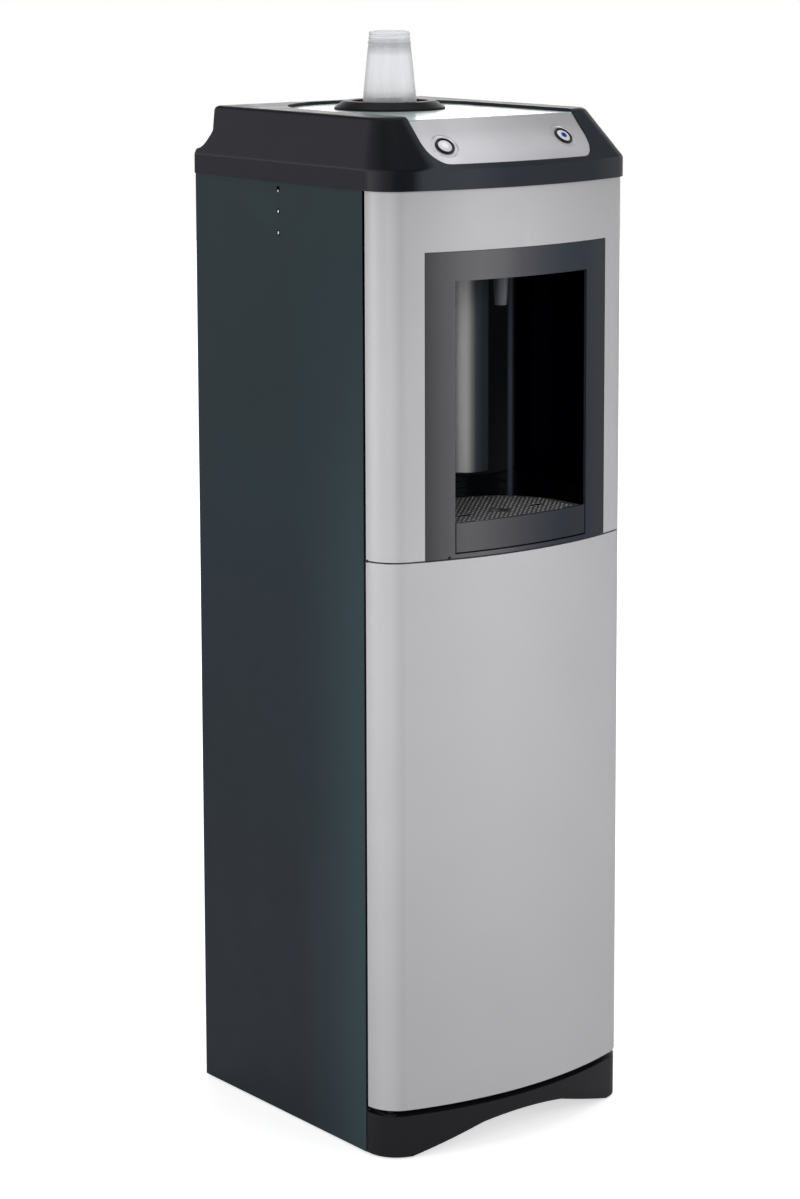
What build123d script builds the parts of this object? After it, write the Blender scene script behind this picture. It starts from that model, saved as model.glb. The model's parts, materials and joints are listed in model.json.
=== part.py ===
from build123d import *
import math
import os

# Bottom load water cooler: a floor-standing cabinet with a bottle bay behind a bowed door, a
# dispensing alcove in the upper front, and a moulded cap with the controls and a cup dispenser.
# Millimetres. +X is the user's right, -Y the front, +Z up. The origin is on the floor, at the
# middle of the overall width and depth.

# ---------------------------------------------------------------- driving dimensions: cabinet
WIDTH = 315.0                # over the side panels
SIDE_DEPTH = 283.0           # front edge to rear edge of a side panel
BULGE = 58.4                 # how far the bowed front stands ahead of the side panels
BOW_RADIUS = 417.0           # plan radius of the bowed front
CORNER_RADIUS = 35.5         # plan radius of the front corners
SHEET = 1.2                  # painted steel sheet
MOULDING = 3.0               # wall of the plastic front parts
FLANGE = 12.0                # width of a folded sheet edge
FOOT_CLEARANCE = 2.0         # cabinet edges above the floor
BASE_TOP = 44.4              # top of the plinth and of the bay floor
DOOR_BOTTOM = 50.9
SEAM_Z = 604.8               # middle of the gap between door and upper front
SEAM_GAP = 2.4
CABINET_TOP = 966.0          # top edge of side panels and upper front
SIDE_GAP = 1.9               # shadow gap between a side panel and the front parts
BACK_RECESS = 25.0           # back panel ahead of the side panels' rear edge

# ---------------------------------------------------------------- driving dimensions: cap
CAP_OVERHANG = 2.5           # cap rim beyond the cabinet outline
CAP_BAND = 19.9              # height of the upright band round the cap
CAP_RISE = 48.2              # from the band to the rim round the top
CAP_SIDE_LEAN = 25.7         # how far the sides lean in over the rise
CAP_REAR_LEAN = 3.0
CAP_REAR_INSET = 2.0         # cap's rear ahead of the side panels' rear edge
CREST_SETBACK = 54.4         # from the cabinet's front bulge back to the crest
CREST_RADIUS = 1500.0        # plan radius of the crest over the control panel
CREST_CORNER = 20.0
CAP_EDGE_CUT = 3.0           # bevel round the cap's top rim
REAR_COVE = 9.0              # depth of the hollow along the cap's rear
FIELD_HALF = 104.5           # half width of the sunk field on top
FIELD_DEPTH = 3.3            # field below the rim
GLASS = 4.0                  # thickness of the top plate
PLATE_GAP = 0.3              # small seating gap between fitted pieces
PANEL_SINK = 2.0             # control panel below the cap's slope
PANEL_SILL = 6.0             # control panel's lower edge above the band
PANEL_ROUND = 20.0

# ---------------------------------------------------------------- driving dimensions: alcove
BEZEL_HALF = 115.0
BEZEL_TOP = 906.2
OPENING_HALF = 84.0
OPENING_TOP = 877.7
TRAY_TOP = 639.5
TRAY_LIP = 4.0               # bezel left below the drip tray
ALCOVE_CENTRE = 17.0         # centre of the round back, ahead of the side panels' front edge
LINER_WALL = 2.5
COLUMN_RADIUS = 23.3
COLUMN_CENTRE = 38.5         # behind the side panels' front edge
COLUMN_BOTTOM = 669.0
NOZZLE_TIP_Z = 845.4
NOZZLE_RADIUS = 7.0
NOZZLE_FLANGE = 4.0

# ---------------------------------------------------------------- driving dimensions: controls
BUTTON_X = 76.0
BUTTON_UP = 38.0             # along the slope, from the band
BUTTON_RADIUS = 7.8
BUTTON_TRAVEL = 2.5
BUTTON_DOME = 1.3            # middle of a button above the panel
MARK_RADIUS = 2.6
RING_RADIUS = 10.0
DISH_RADIUS = 14.0
DISH_DEPTH = 0.6

# ---------------------------------------------------------------- driving dimensions: cups
CUP_AXIS = 161.0             # behind the side panels' front edge
COLLAR_BASE = 57.0
COLLAR_TOP = 46.0
COLLAR_HEIGHT = 8.6
TUBE_BORE = 38.5
TUBE_WALL = 2.0
TUBE_LENGTH = 186.0
CUP_HEIGHT = 92.0
CUP_BASE_RADIUS = 20.6
CUP_RIM_RADIUS = 31.0
CUP_PITCH = 4.7
CUPS = 4
CUPS_TOP = 1110.0

# ---------------------------------------------------------------- derived places
FRONT_EDGE = (BULGE + CAP_OVERHANG - SIDE_DEPTH) / 2     # Y of the side panels' front edge
REAR = FRONT_EDGE + SIDE_DEPTH
HALF = WIDTH / 2
CORNER_X = HALF - CORNER_RADIUS
BOW_Y = FRONT_EDGE - BULGE + BOW_RADIUS
CORNER_Y = BOW_Y - math.sqrt((BOW_RADIUS - CORNER_RADIUS) ** 2 - CORNER_X ** 2)
DOOR_TOP = SEAM_Z - SEAM_GAP / 2
UPPER_BOTTOM = SEAM_Z + SEAM_GAP / 2
BAND_TOP = CABINET_TOP + CAP_BAND
RIM_TOP = BAND_TOP + CAP_RISE
FIELD_Z = RIM_TOP - FIELD_DEPTH
PLATE_BOTTOM = FIELD_Z - GLASS
CREST_Y = FRONT_EDGE - BULGE + CREST_SETBACK
CUP_Y = FRONT_EDGE + CUP_AXIS
ALCOVE_Y = FRONT_EDGE - ALCOVE_CENTRE
TRAY_BOTTOM = UPPER_BOTTOM + TRAY_LIP
INNER_HALF = HALF - SHEET
CAP_REAR = REAR - CAP_REAR_INSET
BACK_DEPTH = SIDE_DEPTH - BACK_RECESS
BACK_Y = FRONT_EDGE + BACK_DEPTH                # front face of the back panel


def y_at(distance):
    """Y of a place measured back from the side panels' front edge."""
    return FRONT_EDGE + distance


# ---------------------------------------------------------------- profiles and small helpers
def bowed_outline(offset, back, radius=None, corner=None, front=None, half=None):
    """Plan outline at Z 0: bowed front, round corners, straight flanks and a straight back."""
    bow = (radius or BOW_RADIUS) + offset
    round_ = (corner or CORNER_RADIUS) + offset
    side = (half or HALF) + offset
    nose = (FRONT_EDGE - BULGE if front is None else front) - offset
    bow_y = nose + bow
    corner_x = side - round_
    corner_y = bow_y - math.sqrt((bow - round_) ** 2 - corner_x ** 2)
    reach = math.hypot(corner_x, bow_y - corner_y)
    tangent = (corner_x / reach, (corner_y - bow_y) / reach)
    touch = (tangent[0] * bow, bow_y + tangent[1] * bow)
    middle = (corner_x + round_ * math.cos(math.atan2(tangent[1], tangent[0]) / 2),
              corner_y + round_ * math.sin(math.atan2(tangent[1], tangent[0]) / 2))
    flank = (side, corner_y)
    edges = [
        Line((-side, back), (-side, corner_y)),
        ThreePointArc((-side, corner_y), (-middle[0], middle[1]), (-touch[0], touch[1])),
        ThreePointArc((-touch[0], touch[1]), (0, nose), touch),
        ThreePointArc(touch, middle, flank),
        Line(flank, (side, back)),
        Line((side, back), (-side, back)),
    ]
    return make_face(edges)


def bowed_plan(offset, back):
    """The cabinet's outline at an offset, cut off square at a given back."""
    keep = Pos(0, back - SIDE_DEPTH) * Rectangle(2 * WIDTH, 2 * SIDE_DEPTH)
    return bowed_outline(offset, REAR + SIDE_DEPTH) & keep


def prism(face, low, high):
    """Plan face stood up between two heights."""
    return extrude(Pos(0, 0, low) * face, amount=high - low)


def bowed_wall(outer, inner, back, low, high):
    """Wall between two offsets of the cabinet's outline, open at the back."""
    plan = bowed_plan(outer, back) - bowed_plan(inner, back + 1)
    return prism(plan, low, high)


def block(x, y, z):
    """Box between pairs of limits."""
    return Pos((x[0] + x[1]) / 2, (y[0] + y[1]) / 2, (z[0] + z[1]) / 2) * Box(
        x[1] - x[0], y[1] - y[0], z[1] - z[0])


def rod(radius, low, high, x=0.0, y=0.0):
    """Upright cylinder between two heights."""
    return Pos(x, y, (low + high) / 2) * Cylinder(radius, high - low)


TURN_SIDES = 28              # flat sides of a turned form


def lathe(points, x=0.0, y=0.0, sides=TURN_SIDES):
    """Solid turned about an upright axis in flat sides, from (radius, height) points."""
    def corner(point, step):
        angle = 2 * math.pi * (step % sides) / sides
        return Vector(point[0] * math.cos(angle), point[0] * math.sin(angle), point[1])

    faces = []
    for start, end in zip(points, points[1:] + points[:1]):
        if start[0] == 0 and end[0] == 0:
            continue
        for step in range(sides):
            quad = [corner(start, step), corner(end, step), corner(end, step + 1),
                    corner(start, step + 1)]
            if start[0] == 0:
                quad.pop()
            if end[0] == 0:
                quad.pop(1)
            faces.append(Face(Wire.make_polygon(quad)))
    return Pos(x, y, 0) * Solid(Shell(faces))


def bowed_shell(low, high, outer=0.0, wall=MOULDING, flank=SIDE_GAP):
    """Bowed front wall with round corners and short flanks, open at the back."""
    return bowed_wall(outer, outer - wall, FRONT_EDGE - flank, low, high)


def front_window(half, low, high, corner=0.0):
    """Cutter that goes through the front between two heights."""
    cutter = block((-half, half), (FRONT_EDGE - BULGE - 20, FRONT_EDGE - 20), (low, high))
    if corner:
        cutter = fillet(cutter.edges().filter_by(Axis.Y), corner)
    return cutter


def faceted(radius, low, high, x=0.0, y=0.0, sides=12):
    """Upright prism with a regular outline between two heights."""
    return prism(Pos(x, y) * RegularPolygon(radius, sides), low, high)


BEND_STEPS = 4               # chords in a pipe's bend


def pipe(points, radius, bend, sides=6):
    """Faceted tube along straight runs and bends drawn in short chords."""
    places = [Vector(*points[0])]
    for edge in FilletPolyline(*points, radius=bend).edges():
        steps = 1 if edge.geom_type == GeomType.LINE else BEND_STEPS
        places += [edge @ (i / steps) for i in range(1, steps + 1)]
    route = Polyline(*places)
    start = Plane(origin=route @ 0, z_dir=route % 0)
    return sweep(start * RegularPolygon(radius, sides), path=route, transition=Transition.RIGHT)


COIL_STEPS = 10              # chords in one turn of a coil


def coil(radius, wire, height, turns):
    """Open coil that stands on Z 0, drawn in short chords."""
    steps = turns * COIL_STEPS
    rise = (height - 2 * wire) / steps
    points = []
    for i in range(steps + 1):
        angle = 2 * math.pi * i / COIL_STEPS
        points.append((radius * math.cos(angle), radius * math.sin(angle), wire + i * rise))
    route = Polyline(*points)
    start = Plane(origin=route @ 0, z_dir=route % 0)
    return sweep(start * RegularPolygon(wire, 4), path=route, transition=Transition.RIGHT)


# ---------------------------------------------------------------- cabinet
HOLE_DEPTH = SIDE_DEPTH / 2
HOLE_TOP_Z = CABINET_TOP - 8.5
HOLE_PITCH = 21.3
HOLE_RADIUS = 2.0
HOLES = 3


def hole_heights():
    return [HOLE_TOP_Z - i * HOLE_PITCH for i in range(HOLES)]


def side_panel(side):
    """Painted steel side with edges folded in at the top, bottom and rear."""
    low, high = FOOT_CLEARANCE, CABINET_TOP
    sheet = block((INNER_HALF, HALF), (FRONT_EDGE, REAR), (low, high))
    folded = (INNER_HALF - FLANGE + SHEET, HALF)
    top = block(folded, (FRONT_EDGE, REAR), (high - SHEET, high))
    bottom = block(folded, (y_at(FLANGE), REAR), (low, low + SHEET))
    rear = block(folded, (REAR - SHEET, REAR), (low, high))
    panel = sheet + top + bottom + rear
    for z in hole_heights():
        panel -= Pos(HALF, y_at(HOLE_DEPTH), z) * Rot(0, 90, 0) * faceted(HOLE_RADIUS, -9, 9, sides=8)
    panel -= block((INNER_HALF - FLANGE, HALF - SHEET), (FRONT_EDGE, y_at(0.1)), (low, high))
    return panel if side > 0 else mirror(panel, about=Plane.YZ)


def hole_plugs():
    """Nylon snap plugs that close the accessory holes."""
    plugs = []
    for side in (-1, 1):
        for z in hole_heights():
            stem = faceted(HOLE_RADIUS - 0.1, -SHEET / 2, SHEET / 2, sides=8)
            head = faceted(HOLE_RADIUS + 1, -1.5 * SHEET, -SHEET / 2, sides=8)
            plug = Rot(0, side * 90, 0) * (stem + head)
            plugs.append(Pos(side * (HALF - SHEET / 2), y_at(HOLE_DEPTH), z) * plug)
    return plugs


FEET_X = HALF - 32.0
FEET_Y = (26.0, SIDE_DEPTH - 45.0)
FOOT_RADIUS = 16.0
FOOT_PAD = 7.0
FOOT_STEM = 5.0


def feet():
    """Levelling feet: faceted pad and a six-sided stem up to the base pan."""
    foot = faceted(FOOT_RADIUS, 0, FOOT_PAD) + faceted(FOOT_STEM, 0, BASE_TOP - SHEET, sides=6)
    return [Pos(x, y_at(y), 0) * foot for x in (-FEET_X, FEET_X) for y in FEET_Y]


def base_pan():
    """Folded pan under the bottle bay, open towards the plinth's arch."""
    skirt_low = FOOT_CLEARANCE + SHEET
    top = block((-INNER_HALF, INNER_HALF), (FRONT_EDGE, BACK_Y), (BASE_TOP - SHEET, BASE_TOP))
    pan = top
    for side in (-1, 1):
        edge = sorted((side * INNER_HALF, side * (INNER_HALF - SHEET)))
        pan += block(edge, (y_at(FLANGE), BACK_Y), (skirt_low, BASE_TOP))
    pan += block((-INNER_HALF, INNER_HALF), (BACK_Y - SHEET, BACK_Y), (skirt_low, BASE_TOP))
    pan += block((-INNER_HALF, INNER_HALF), (FRONT_EDGE, y_at(SHEET)), (BASE_TOP - FLANGE, BASE_TOP))
    return pan


ARCH_FOOT = 128.5
ARCH_SHOULDER = 52.0
ARCH_SHOULDER_Z = 22.5
ARCH_HEIGHT = 26.8
PLINTH_INSET = 0.7


def plinth():
    """Black skirt under the door, with a deck behind it and a low arch cut in its foot."""
    low = FOOT_CLEARANCE
    outer = prism(bowed_plan(-PLINTH_INSET, FRONT_EDGE), low, BASE_TOP)
    inner = prism(bowed_plan(-PLINTH_INSET - MOULDING, FRONT_EDGE + 1), low - 1, BASE_TOP - MOULDING)
    flat = [Line((-ARCH_FOOT, low), (-ARCH_SHOULDER, low + ARCH_SHOULDER_Z)),
            ThreePointArc((-ARCH_SHOULDER, low + ARCH_SHOULDER_Z), (0, low + ARCH_HEIGHT),
                          (ARCH_SHOULDER, low + ARCH_SHOULDER_Z)),
            Line((ARCH_SHOULDER, low + ARCH_SHOULDER_Z), (ARCH_FOOT, low)),
            Polyline((ARCH_FOOT, low), (ARCH_FOOT, low - 5), (-ARCH_FOOT, low - 5), (-ARCH_FOOT, low))]
    arch = Plane.XZ * make_face(flat)
    cutter = extrude(arch, amount=400, both=True)
    return outer - inner - cutter


SLOT_ROWS = 7
SLOT_PITCH = 14.0
SLOT_Z = 640.0


def back_panel():
    """Steel back with its side edges folded, louvred behind the compressor."""
    low, high = FOOT_CLEARANCE + SHEET, CABINET_TOP - SHEET
    panel = block((-INNER_HALF, INNER_HALF), (BACK_Y, BACK_Y + SHEET), (low, high))
    for side in (-1, 1):
        edge = sorted((side * INNER_HALF, side * (INNER_HALF - SHEET)))
        panel += block(edge, (BACK_Y, REAR - SHEET), (low, high))
    panel += block((-INNER_HALF, INNER_HALF), (BACK_Y, BACK_Y + FLANGE), (high - SHEET, high))
    for row in range(SLOT_ROWS):
        z = SLOT_Z + row * SLOT_PITCH
        for x in (-70, 70):
            panel -= block((x - 35, x + 35), (BACK_Y - 5, BACK_Y + 5), (z, z + 4))
    return panel


def mid_shelf():
    """Deck over the bottle bay that carries the works."""
    top = UPPER_BOTTOM
    shelf = block((-INNER_HALF, INNER_HALF), (y_at(5), BACK_Y), (top - SHEET, top))
    shelf += block((-INNER_HALF, INNER_HALF), (y_at(5), y_at(5 + SHEET)), (top - 3 * FLANGE, top))
    shelf += block((-INNER_HALF, INNER_HALF), (BACK_Y - SHEET, BACK_Y), (top - FLANGE, top))
    return shelf - faceted(BULKHEAD_RADIUS + 0.2, top - 5, top + 5, BULKHEAD_X, BULKHEAD_Y)


# ---------------------------------------------------------------- door and its hinge
HINGE_X = -HALF + 14.5
HINGE_Y = FRONT_EDGE - 20.0
PIN_RADIUS = 3.0
PIN_PLAY = 0.15
PIN_GRIP = 10.0
BRACKET = 1.6
BUSH_RADIUS = 5.0
LINER_BACK = 5.7             # thickness of the door's inner moulding


def door_skin():
    """Silver outer shell of the door, closed at its top and bottom."""
    shell = bowed_shell(DOOR_BOTTOM, DOOR_TOP)
    lid = prism(bowed_plan(-MOULDING + 0.2, FRONT_EDGE - SIDE_GAP), 0, MOULDING)
    inside = prism(bowed_plan(-MOULDING - PLATE_GAP - LINER_BACK, FRONT_EDGE), -1, MOULDING + 1)
    flange = lid - inside
    skin = shell + Pos(0, 0, DOOR_BOTTOM) * flange + Pos(0, 0, DOOR_TOP - MOULDING) * flange
    return skin - faceted(BUSH_RADIUS, 0, CABINET_TOP, HINGE_X, HINGE_Y, sides=8)


def door_liner():
    """Inner moulding of the door, which follows the skin and faces the bottle bay."""
    low, high = DOOR_BOTTOM + MOULDING, DOOR_TOP - MOULDING
    face = -MOULDING - PLATE_GAP
    wall = bowed_wall(face, face - LINER_BACK, y_at(-4), low, high)
    reach = PIN_GRIP + PLATE_GAP
    for start, end in ((low - 1, DOOR_BOTTOM + reach), (DOOR_TOP - reach, high + 1)):
        wall -= faceted(BUSH_RADIUS + PLATE_GAP, start, end, HINGE_X, HINGE_Y, sides=8)
    return wall


def hinge_bushes():
    """Nylon bushes in the door's two hinge corners."""
    bore = PIN_RADIUS + PIN_PLAY
    bushes = []
    for low in (DOOR_BOTTOM, DOOR_TOP - PIN_GRIP):
        sleeve = faceted(BUSH_RADIUS - 0.05, low, low + PIN_GRIP, HINGE_X, HINGE_Y, sides=8)
        bushes.append(sleeve - rod(bore, low - 1, low + PIN_GRIP + 1, HINGE_X, HINGE_Y))
    return bushes


def bracket_plate(low, back):
    """Flat hinge arm with a round nose about the pin."""
    arm = block((HINGE_X - 7, HINGE_X + 7), (HINGE_Y, back), (low, low + BRACKET))
    return arm + faceted(7, low, low + BRACKET, HINGE_X, HINGE_Y)


def lower_hinge():
    """Hinge bracket on the plinth's deck, with its pin up into the door."""
    plate = bracket_plate(BASE_TOP, y_at(24))
    return plate + rod(PIN_RADIUS, BASE_TOP, DOOR_BOTTOM + PIN_GRIP - 2, HINGE_X, HINGE_Y)


def upper_hinge():
    """Hinge bracket bolted to the shelf's front, with its pin down into the door."""
    low = SEAM_Z - BRACKET / 2
    plate = bracket_plate(low, y_at(5))
    tab = block((HINGE_X - 7, HINGE_X + 7), (y_at(5) - BRACKET, y_at(5)), (low - 16, low + BRACKET))
    return plate + tab + rod(PIN_RADIUS, DOOR_TOP - PIN_GRIP + 2, low + BRACKET, HINGE_X, HINGE_Y)


CATCH_Z = (520.0, 560.0)


def door_magnet():
    """Magnet block on the right side panel."""
    return block((HALF - 15, INNER_HALF), (y_at(-1.6), y_at(11)), CATCH_Z)


def door_strike():
    """Steel strike plate on the back edge of the door liner."""
    edge = HALF - MOULDING - 2.5
    return block((edge - 8, edge), (y_at(-4), y_at(-2)), CATCH_Z)


# ---------------------------------------------------------------- upper front and alcove
def upper_front():
    """Silver upper panel with the big window and a floor ledge."""
    panel = bowed_shell(UPPER_BOTTOM, CABINET_TOP)
    panel -= front_window(BEZEL_HALF + PLATE_GAP, UPPER_BOTTOM - 1, BEZEL_TOP + PLATE_GAP)
    ledge = prism(bowed_plan(-MOULDING + 0.2, y_at(5)), UPPER_BOTTOM, UPPER_BOTTOM + SHEET)
    ledge -= block((-HALF, -HALF + MOULDING), (FRONT_EDGE - SIDE_GAP, y_at(6)), (0, CABINET_TOP))
    ledge -= block((HALF - MOULDING, HALF), (FRONT_EDGE - SIDE_GAP, y_at(6)), (0, CABINET_TOP))
    ledge -= prism(bowed_plan(1, y_at(6)) - bowed_plan(-MOULDING - PLATE_GAP, y_at(7)),
                   UPPER_BOTTOM - 1, UPPER_BOTTOM + 3) & front_window(
                       BEZEL_HALF + PLATE_GAP, 0, CABINET_TOP)
    return panel + ledge


def alcove_bezel():
    """Dark frame, flush in the upper front's window, round the alcove and the drip tray."""
    plate = bowed_shell(UPPER_BOTTOM, BEZEL_TOP)
    plate &= front_window(BEZEL_HALF, UPPER_BOTTOM, BEZEL_TOP)
    return plate - front_window(OPENING_HALF, TRAY_BOTTOM, OPENING_TOP, corner=1.5)


def alcove_plan(half, radius, front):
    """Plan of the alcove: straight sides and a round back."""
    depth = math.sqrt(radius ** 2 - half ** 2) if radius > half else 0.0
    side_y = ALCOVE_Y + depth
    return make_face([
        Line((-half, front), (-half, side_y)),
        ThreePointArc((-half, side_y), (0, ALCOVE_Y + radius), (half, side_y)),
        Line((half, side_y), (half, front)), Line((half, front), (-half, front))])


ALCOVE_FLOOR = UPPER_BOTTOM + SHEET
ALCOVE_FRONT = FRONT_EDGE - BULGE - 10


def front_space(offset=-MOULDING - PLATE_GAP):
    """All that lies behind the bowed front at a given offset."""
    return prism(bowed_plan(offset, REAR), 0, RIM_TOP)


def alcove_liner():
    """Gloss liner: round-backed cavity with a floor and a ceiling."""
    outer = prism(alcove_plan(OPENING_HALF + LINER_WALL, OPENING_HALF + LINER_WALL, ALCOVE_FRONT),
                  ALCOVE_FLOOR, OPENING_TOP + LINER_WALL)
    inner = prism(alcove_plan(OPENING_HALF, OPENING_HALF, ALCOVE_FRONT),
                  ALCOVE_FLOOR + LINER_WALL, OPENING_TOP)
    liner = (outer - inner) & front_space()
    spout_hole = faceted(NOZZLE_RADIUS + 3.3, OPENING_TOP - 5, OPENING_TOP + 9, 0, ALCOVE_Y,
                         sides=TURN_SIDES)
    return liner - spout_hole


def light_column():
    """Silver half-round column moulding on the alcove's back wall."""
    centre = y_at(COLUMN_CENTRE)
    low, high = COLUMN_BOTTOM, OPENING_TOP
    reach = rod(OPENING_HALF - 0.2, low - 1, high + 1, 0, ALCOVE_Y)

    def post(radius, bottom):
        body = rod(radius, bottom, high, 0, centre)
        return body + block((-radius, radius), (centre, centre + 60), (bottom, high))

    return (post(COLUMN_RADIUS, low) - post(COLUMN_RADIUS - 2, low + 2)) & reach


TRAY_WALL = 2.0
TRAY_PLAY = 0.6
GRILLE_THICK = 3.0
GRILLE_SINK = 1.5            # grille's face below the tray's front edge


def drip_tray():
    """Drip tray: bowed front and a round-backed basin with a ledge for the grille."""
    half = OPENING_HALF - TRAY_PLAY
    low = TRAY_BOTTOM + PLATE_GAP
    rim = TRAY_TOP - GRILLE_SINK
    outer = prism(alcove_plan(half, half, ALCOVE_FRONT), low, rim)
    bowl = prism(alcove_plan(half - 2 * TRAY_WALL, half - 2 * TRAY_WALL, ALCOVE_FRONT),
                 low + TRAY_WALL, rim + 1)
    seat = prism(alcove_plan(half - TRAY_WALL, half - TRAY_WALL, ALCOVE_FRONT),
                 rim - GRILLE_THICK, rim + 1)
    basin = (outer & front_space(-0.1)) - (bowl & front_space(-2 * MOULDING)) - (
        seat & front_space(-MOULDING))
    front = bowed_shell(low, TRAY_TOP) & front_window(half, low, TRAY_TOP)
    return basin + front


HOLE_GAP = 19.0
DRAIN_HOLE = 3.8             # half the diagonal of a drain hole
DISC_RADIUS = 11.0           # ground left whole about the sunk disc
LIFT_SLOT_X = 48.0
LIFT_SLOT = 16.0             # length of a finger slot


def drip_grille():
    """Perforated grille with a smooth disc under the nozzle and two finger slots."""
    half = OPENING_HALF - TRAY_PLAY - TRAY_WALL - PLATE_GAP
    top = TRAY_TOP - GRILLE_SINK
    plate = prism(alcove_plan(half, half, ALCOVE_FRONT), top - GRILLE_THICK, top)
    plate &= front_space(-MOULDING - PLATE_GAP)
    row_step = HOLE_GAP * math.sqrt(3) / 2
    holes = []
    for row in range(-4, 7):
        y = ALCOVE_Y + row * row_step
        for column in range(-6, 7):
            x = (column + (row % 2) / 2) * HOLE_GAP
            clear = math.hypot(x, y - ALCOVE_Y)
            front = BOW_Y - math.sqrt(BOW_RADIUS ** 2 - x ** 2) + MOULDING + 7
            slot = math.hypot(abs(x) - LIFT_SLOT_X, (y - ALCOVE_Y) * 2.2)
            if DISC_RADIUS + 5 < clear < half - 5 or (y < ALCOVE_Y and clear > DISC_RADIUS + 5):
                if abs(x) < half - 5 and y > front and slot > 14:
                    holes.append(Pos(x, y) * RegularPolygon(DRAIN_HOLE, 4))
    drains = [extrude(Pos(0, 0, top - GRILLE_THICK - 1) * hole, amount=GRILLE_THICK + 2)
              for hole in holes]
    plate = plate.cut(*drains)
    for side in (-1, 1):
        plate -= Pos(side * LIFT_SLOT_X, ALCOVE_Y, top) * Box(LIFT_SLOT, 3.5, 3 * GRILLE_THICK)
    return plate - faceted(DISC_RADIUS - 1, top - 0.6, top + 1, 0, ALCOVE_Y, sides=TURN_SIDES)


def nozzle():
    """Tapered spout that hangs through the alcove's ceiling."""
    tip, top = NOZZLE_TIP_Z, OPENING_TOP + LINER_WALL
    radius = NOZZLE_RADIUS
    high = top + NOZZLE_FLANGE
    return lathe([(3, tip), (radius - 1, tip), (radius, tip + 1.5), (radius + 2, top),
                  (radius + 6, top), (radius + 6, high), (3, high)], 0, ALCOVE_Y)


VALVE_X = 46.0
VALVE_Y = ALCOVE_Y - 2
VALVE_REACH = 22.0           # from a valve's axis to the end of its inlet


def valve(side):
    """Solenoid water valve: body, coil and two stubs."""
    low = OPENING_TOP + LINER_WALL
    x, y = side * VALVE_X, VALVE_Y
    body = block((x - 12, x + 12), (y - 12, y + 12), (low, low + 22))
    coil_can = faceted(13, low + 22, low + 48, x, y)
    inlet = Pos(x, y + VALVE_REACH - 10, low + 11) * Rot(-90, 0, 0) * faceted(4, -10, 10, sides=6)
    outlet = Pos(x - side * 12, y, low + 11) * Rot(0, 90, 0) * faceted(4, -7, 7, sides=6)
    return body + coil_can + inlet + outlet


def nozzle_manifold():
    """Block over the nozzle where both water lines meet."""
    low = OPENING_TOP + LINER_WALL + NOZZLE_FLANGE
    return faceted(12, low, low + 14, 0, ALCOVE_Y) - faceted(3, low - 1, low + 7, 0, ALCOVE_Y, sides=6)


def nozzle_lines():
    """Short silicone tubes from the valves to the manifold."""
    z = OPENING_TOP + LINER_WALL + 11
    lines = []
    for side in (-1, 1):
        tube = Pos(side * 19.55, VALVE_Y, z) * Rot(0, 90, 0) * faceted(3, -7.45, 7.45, sides=6)
        lines.append(tube)
    return lines


# ---------------------------------------------------------------- cap, plate and controls
BOW_CHORDS = 20              # chords in the cap's bowed front
CORNER_CHORDS = 5


def chord_ring(outline, z):
    """Corner points at one height that follow a bowed outline in short chords."""
    flank, corner, bow, far_corner, far_flank, rear = outline.edges()
    points = [flank @ 0]
    for edge, chords in ((corner, CORNER_CHORDS), (bow, BOW_CHORDS), (far_corner, CORNER_CHORDS)):
        points += [edge @ (i / chords) for i in range(chords)]
    points += [far_corner @ 1, far_flank @ 1]
    return [Vector(point.X, point.Y, z) for point in points]


def ring_body(rings):
    """Flat-faced solid between rings of corner points, from the lowest to the highest."""
    faces = [Face(Wire.make_polygon(rings[0])), Face(Wire.make_polygon(rings[-1]))]
    for foot, head in zip(rings, rings[1:]):
        for i, corner in enumerate(foot):
            after = (i + 1) % len(foot)
            faces.append(Face(Wire.make_polygon([corner, foot[after], head[i]])))
            faces.append(Face(Wire.make_polygon([foot[after], head[after], head[i]])))
    return Solid(Shell(faces))


def crest_ring(inset):
    """Corner points of the rim round the cap's top."""
    outline = bowed_outline(-inset, CAP_REAR - CAP_REAR_LEAN - inset, radius=CREST_RADIUS,
                            corner=CREST_CORNER, front=CREST_Y, half=HALF + CAP_OVERHANG - CAP_SIDE_LEAN)
    return chord_ring(outline, RIM_TOP)


def slope_body(inset, top=RIM_TOP, bevel=0.0):
    """Tapered upper body of the cap: bowed at the band, flatter at the crest."""
    foot = chord_ring(bowed_outline(CAP_OVERHANG - inset, CAP_REAR - inset), BAND_TOP)
    crest = crest_ring(inset)
    rings = [foot, crest]
    if bevel:
        share = 1 - bevel / CAP_RISE
        shoulder = [low + (high - low) * share for low, high in zip(foot, crest)]
        rings = [foot, shoulder, crest_ring(inset + bevel)]
    body = ring_body(rings)
    if top < RIM_TOP:
        body &= block((-HALF - 9, HALF + 9), (-SIDE_DEPTH, SIDE_DEPTH), (0, top))
    return body


def field_plan(half, front=None):
    """Plan of the sunk field: straight sides and a half-round rear end."""
    front = FRONT_EDGE - BULGE - 30 if front is None else front
    return make_face([
        Line((-half, front), (-half, CUP_Y)),
        ThreePointArc((-half, CUP_Y), (0, CUP_Y + half), (half, CUP_Y)),
        Line((half, CUP_Y), (half, front)), Line((half, front), (-half, front))])


def panel_window(half, sill, head=RIM_TOP + 5):
    """Cutter seen from the front, in the shape of the control panel, with round lower corners."""
    width = 2 * half
    face = Rectangle(width, head - sill)
    face = fillet(face.vertices().group_by(Axis.Y)[0], PANEL_ROUND)
    plane = Plane(origin=(0, FRONT_EDGE + 40, (sill + head) / 2), x_dir=(1, 0, 0), z_dir=(0, -1, 0))
    return extrude(plane * face, amount=140)


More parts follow.
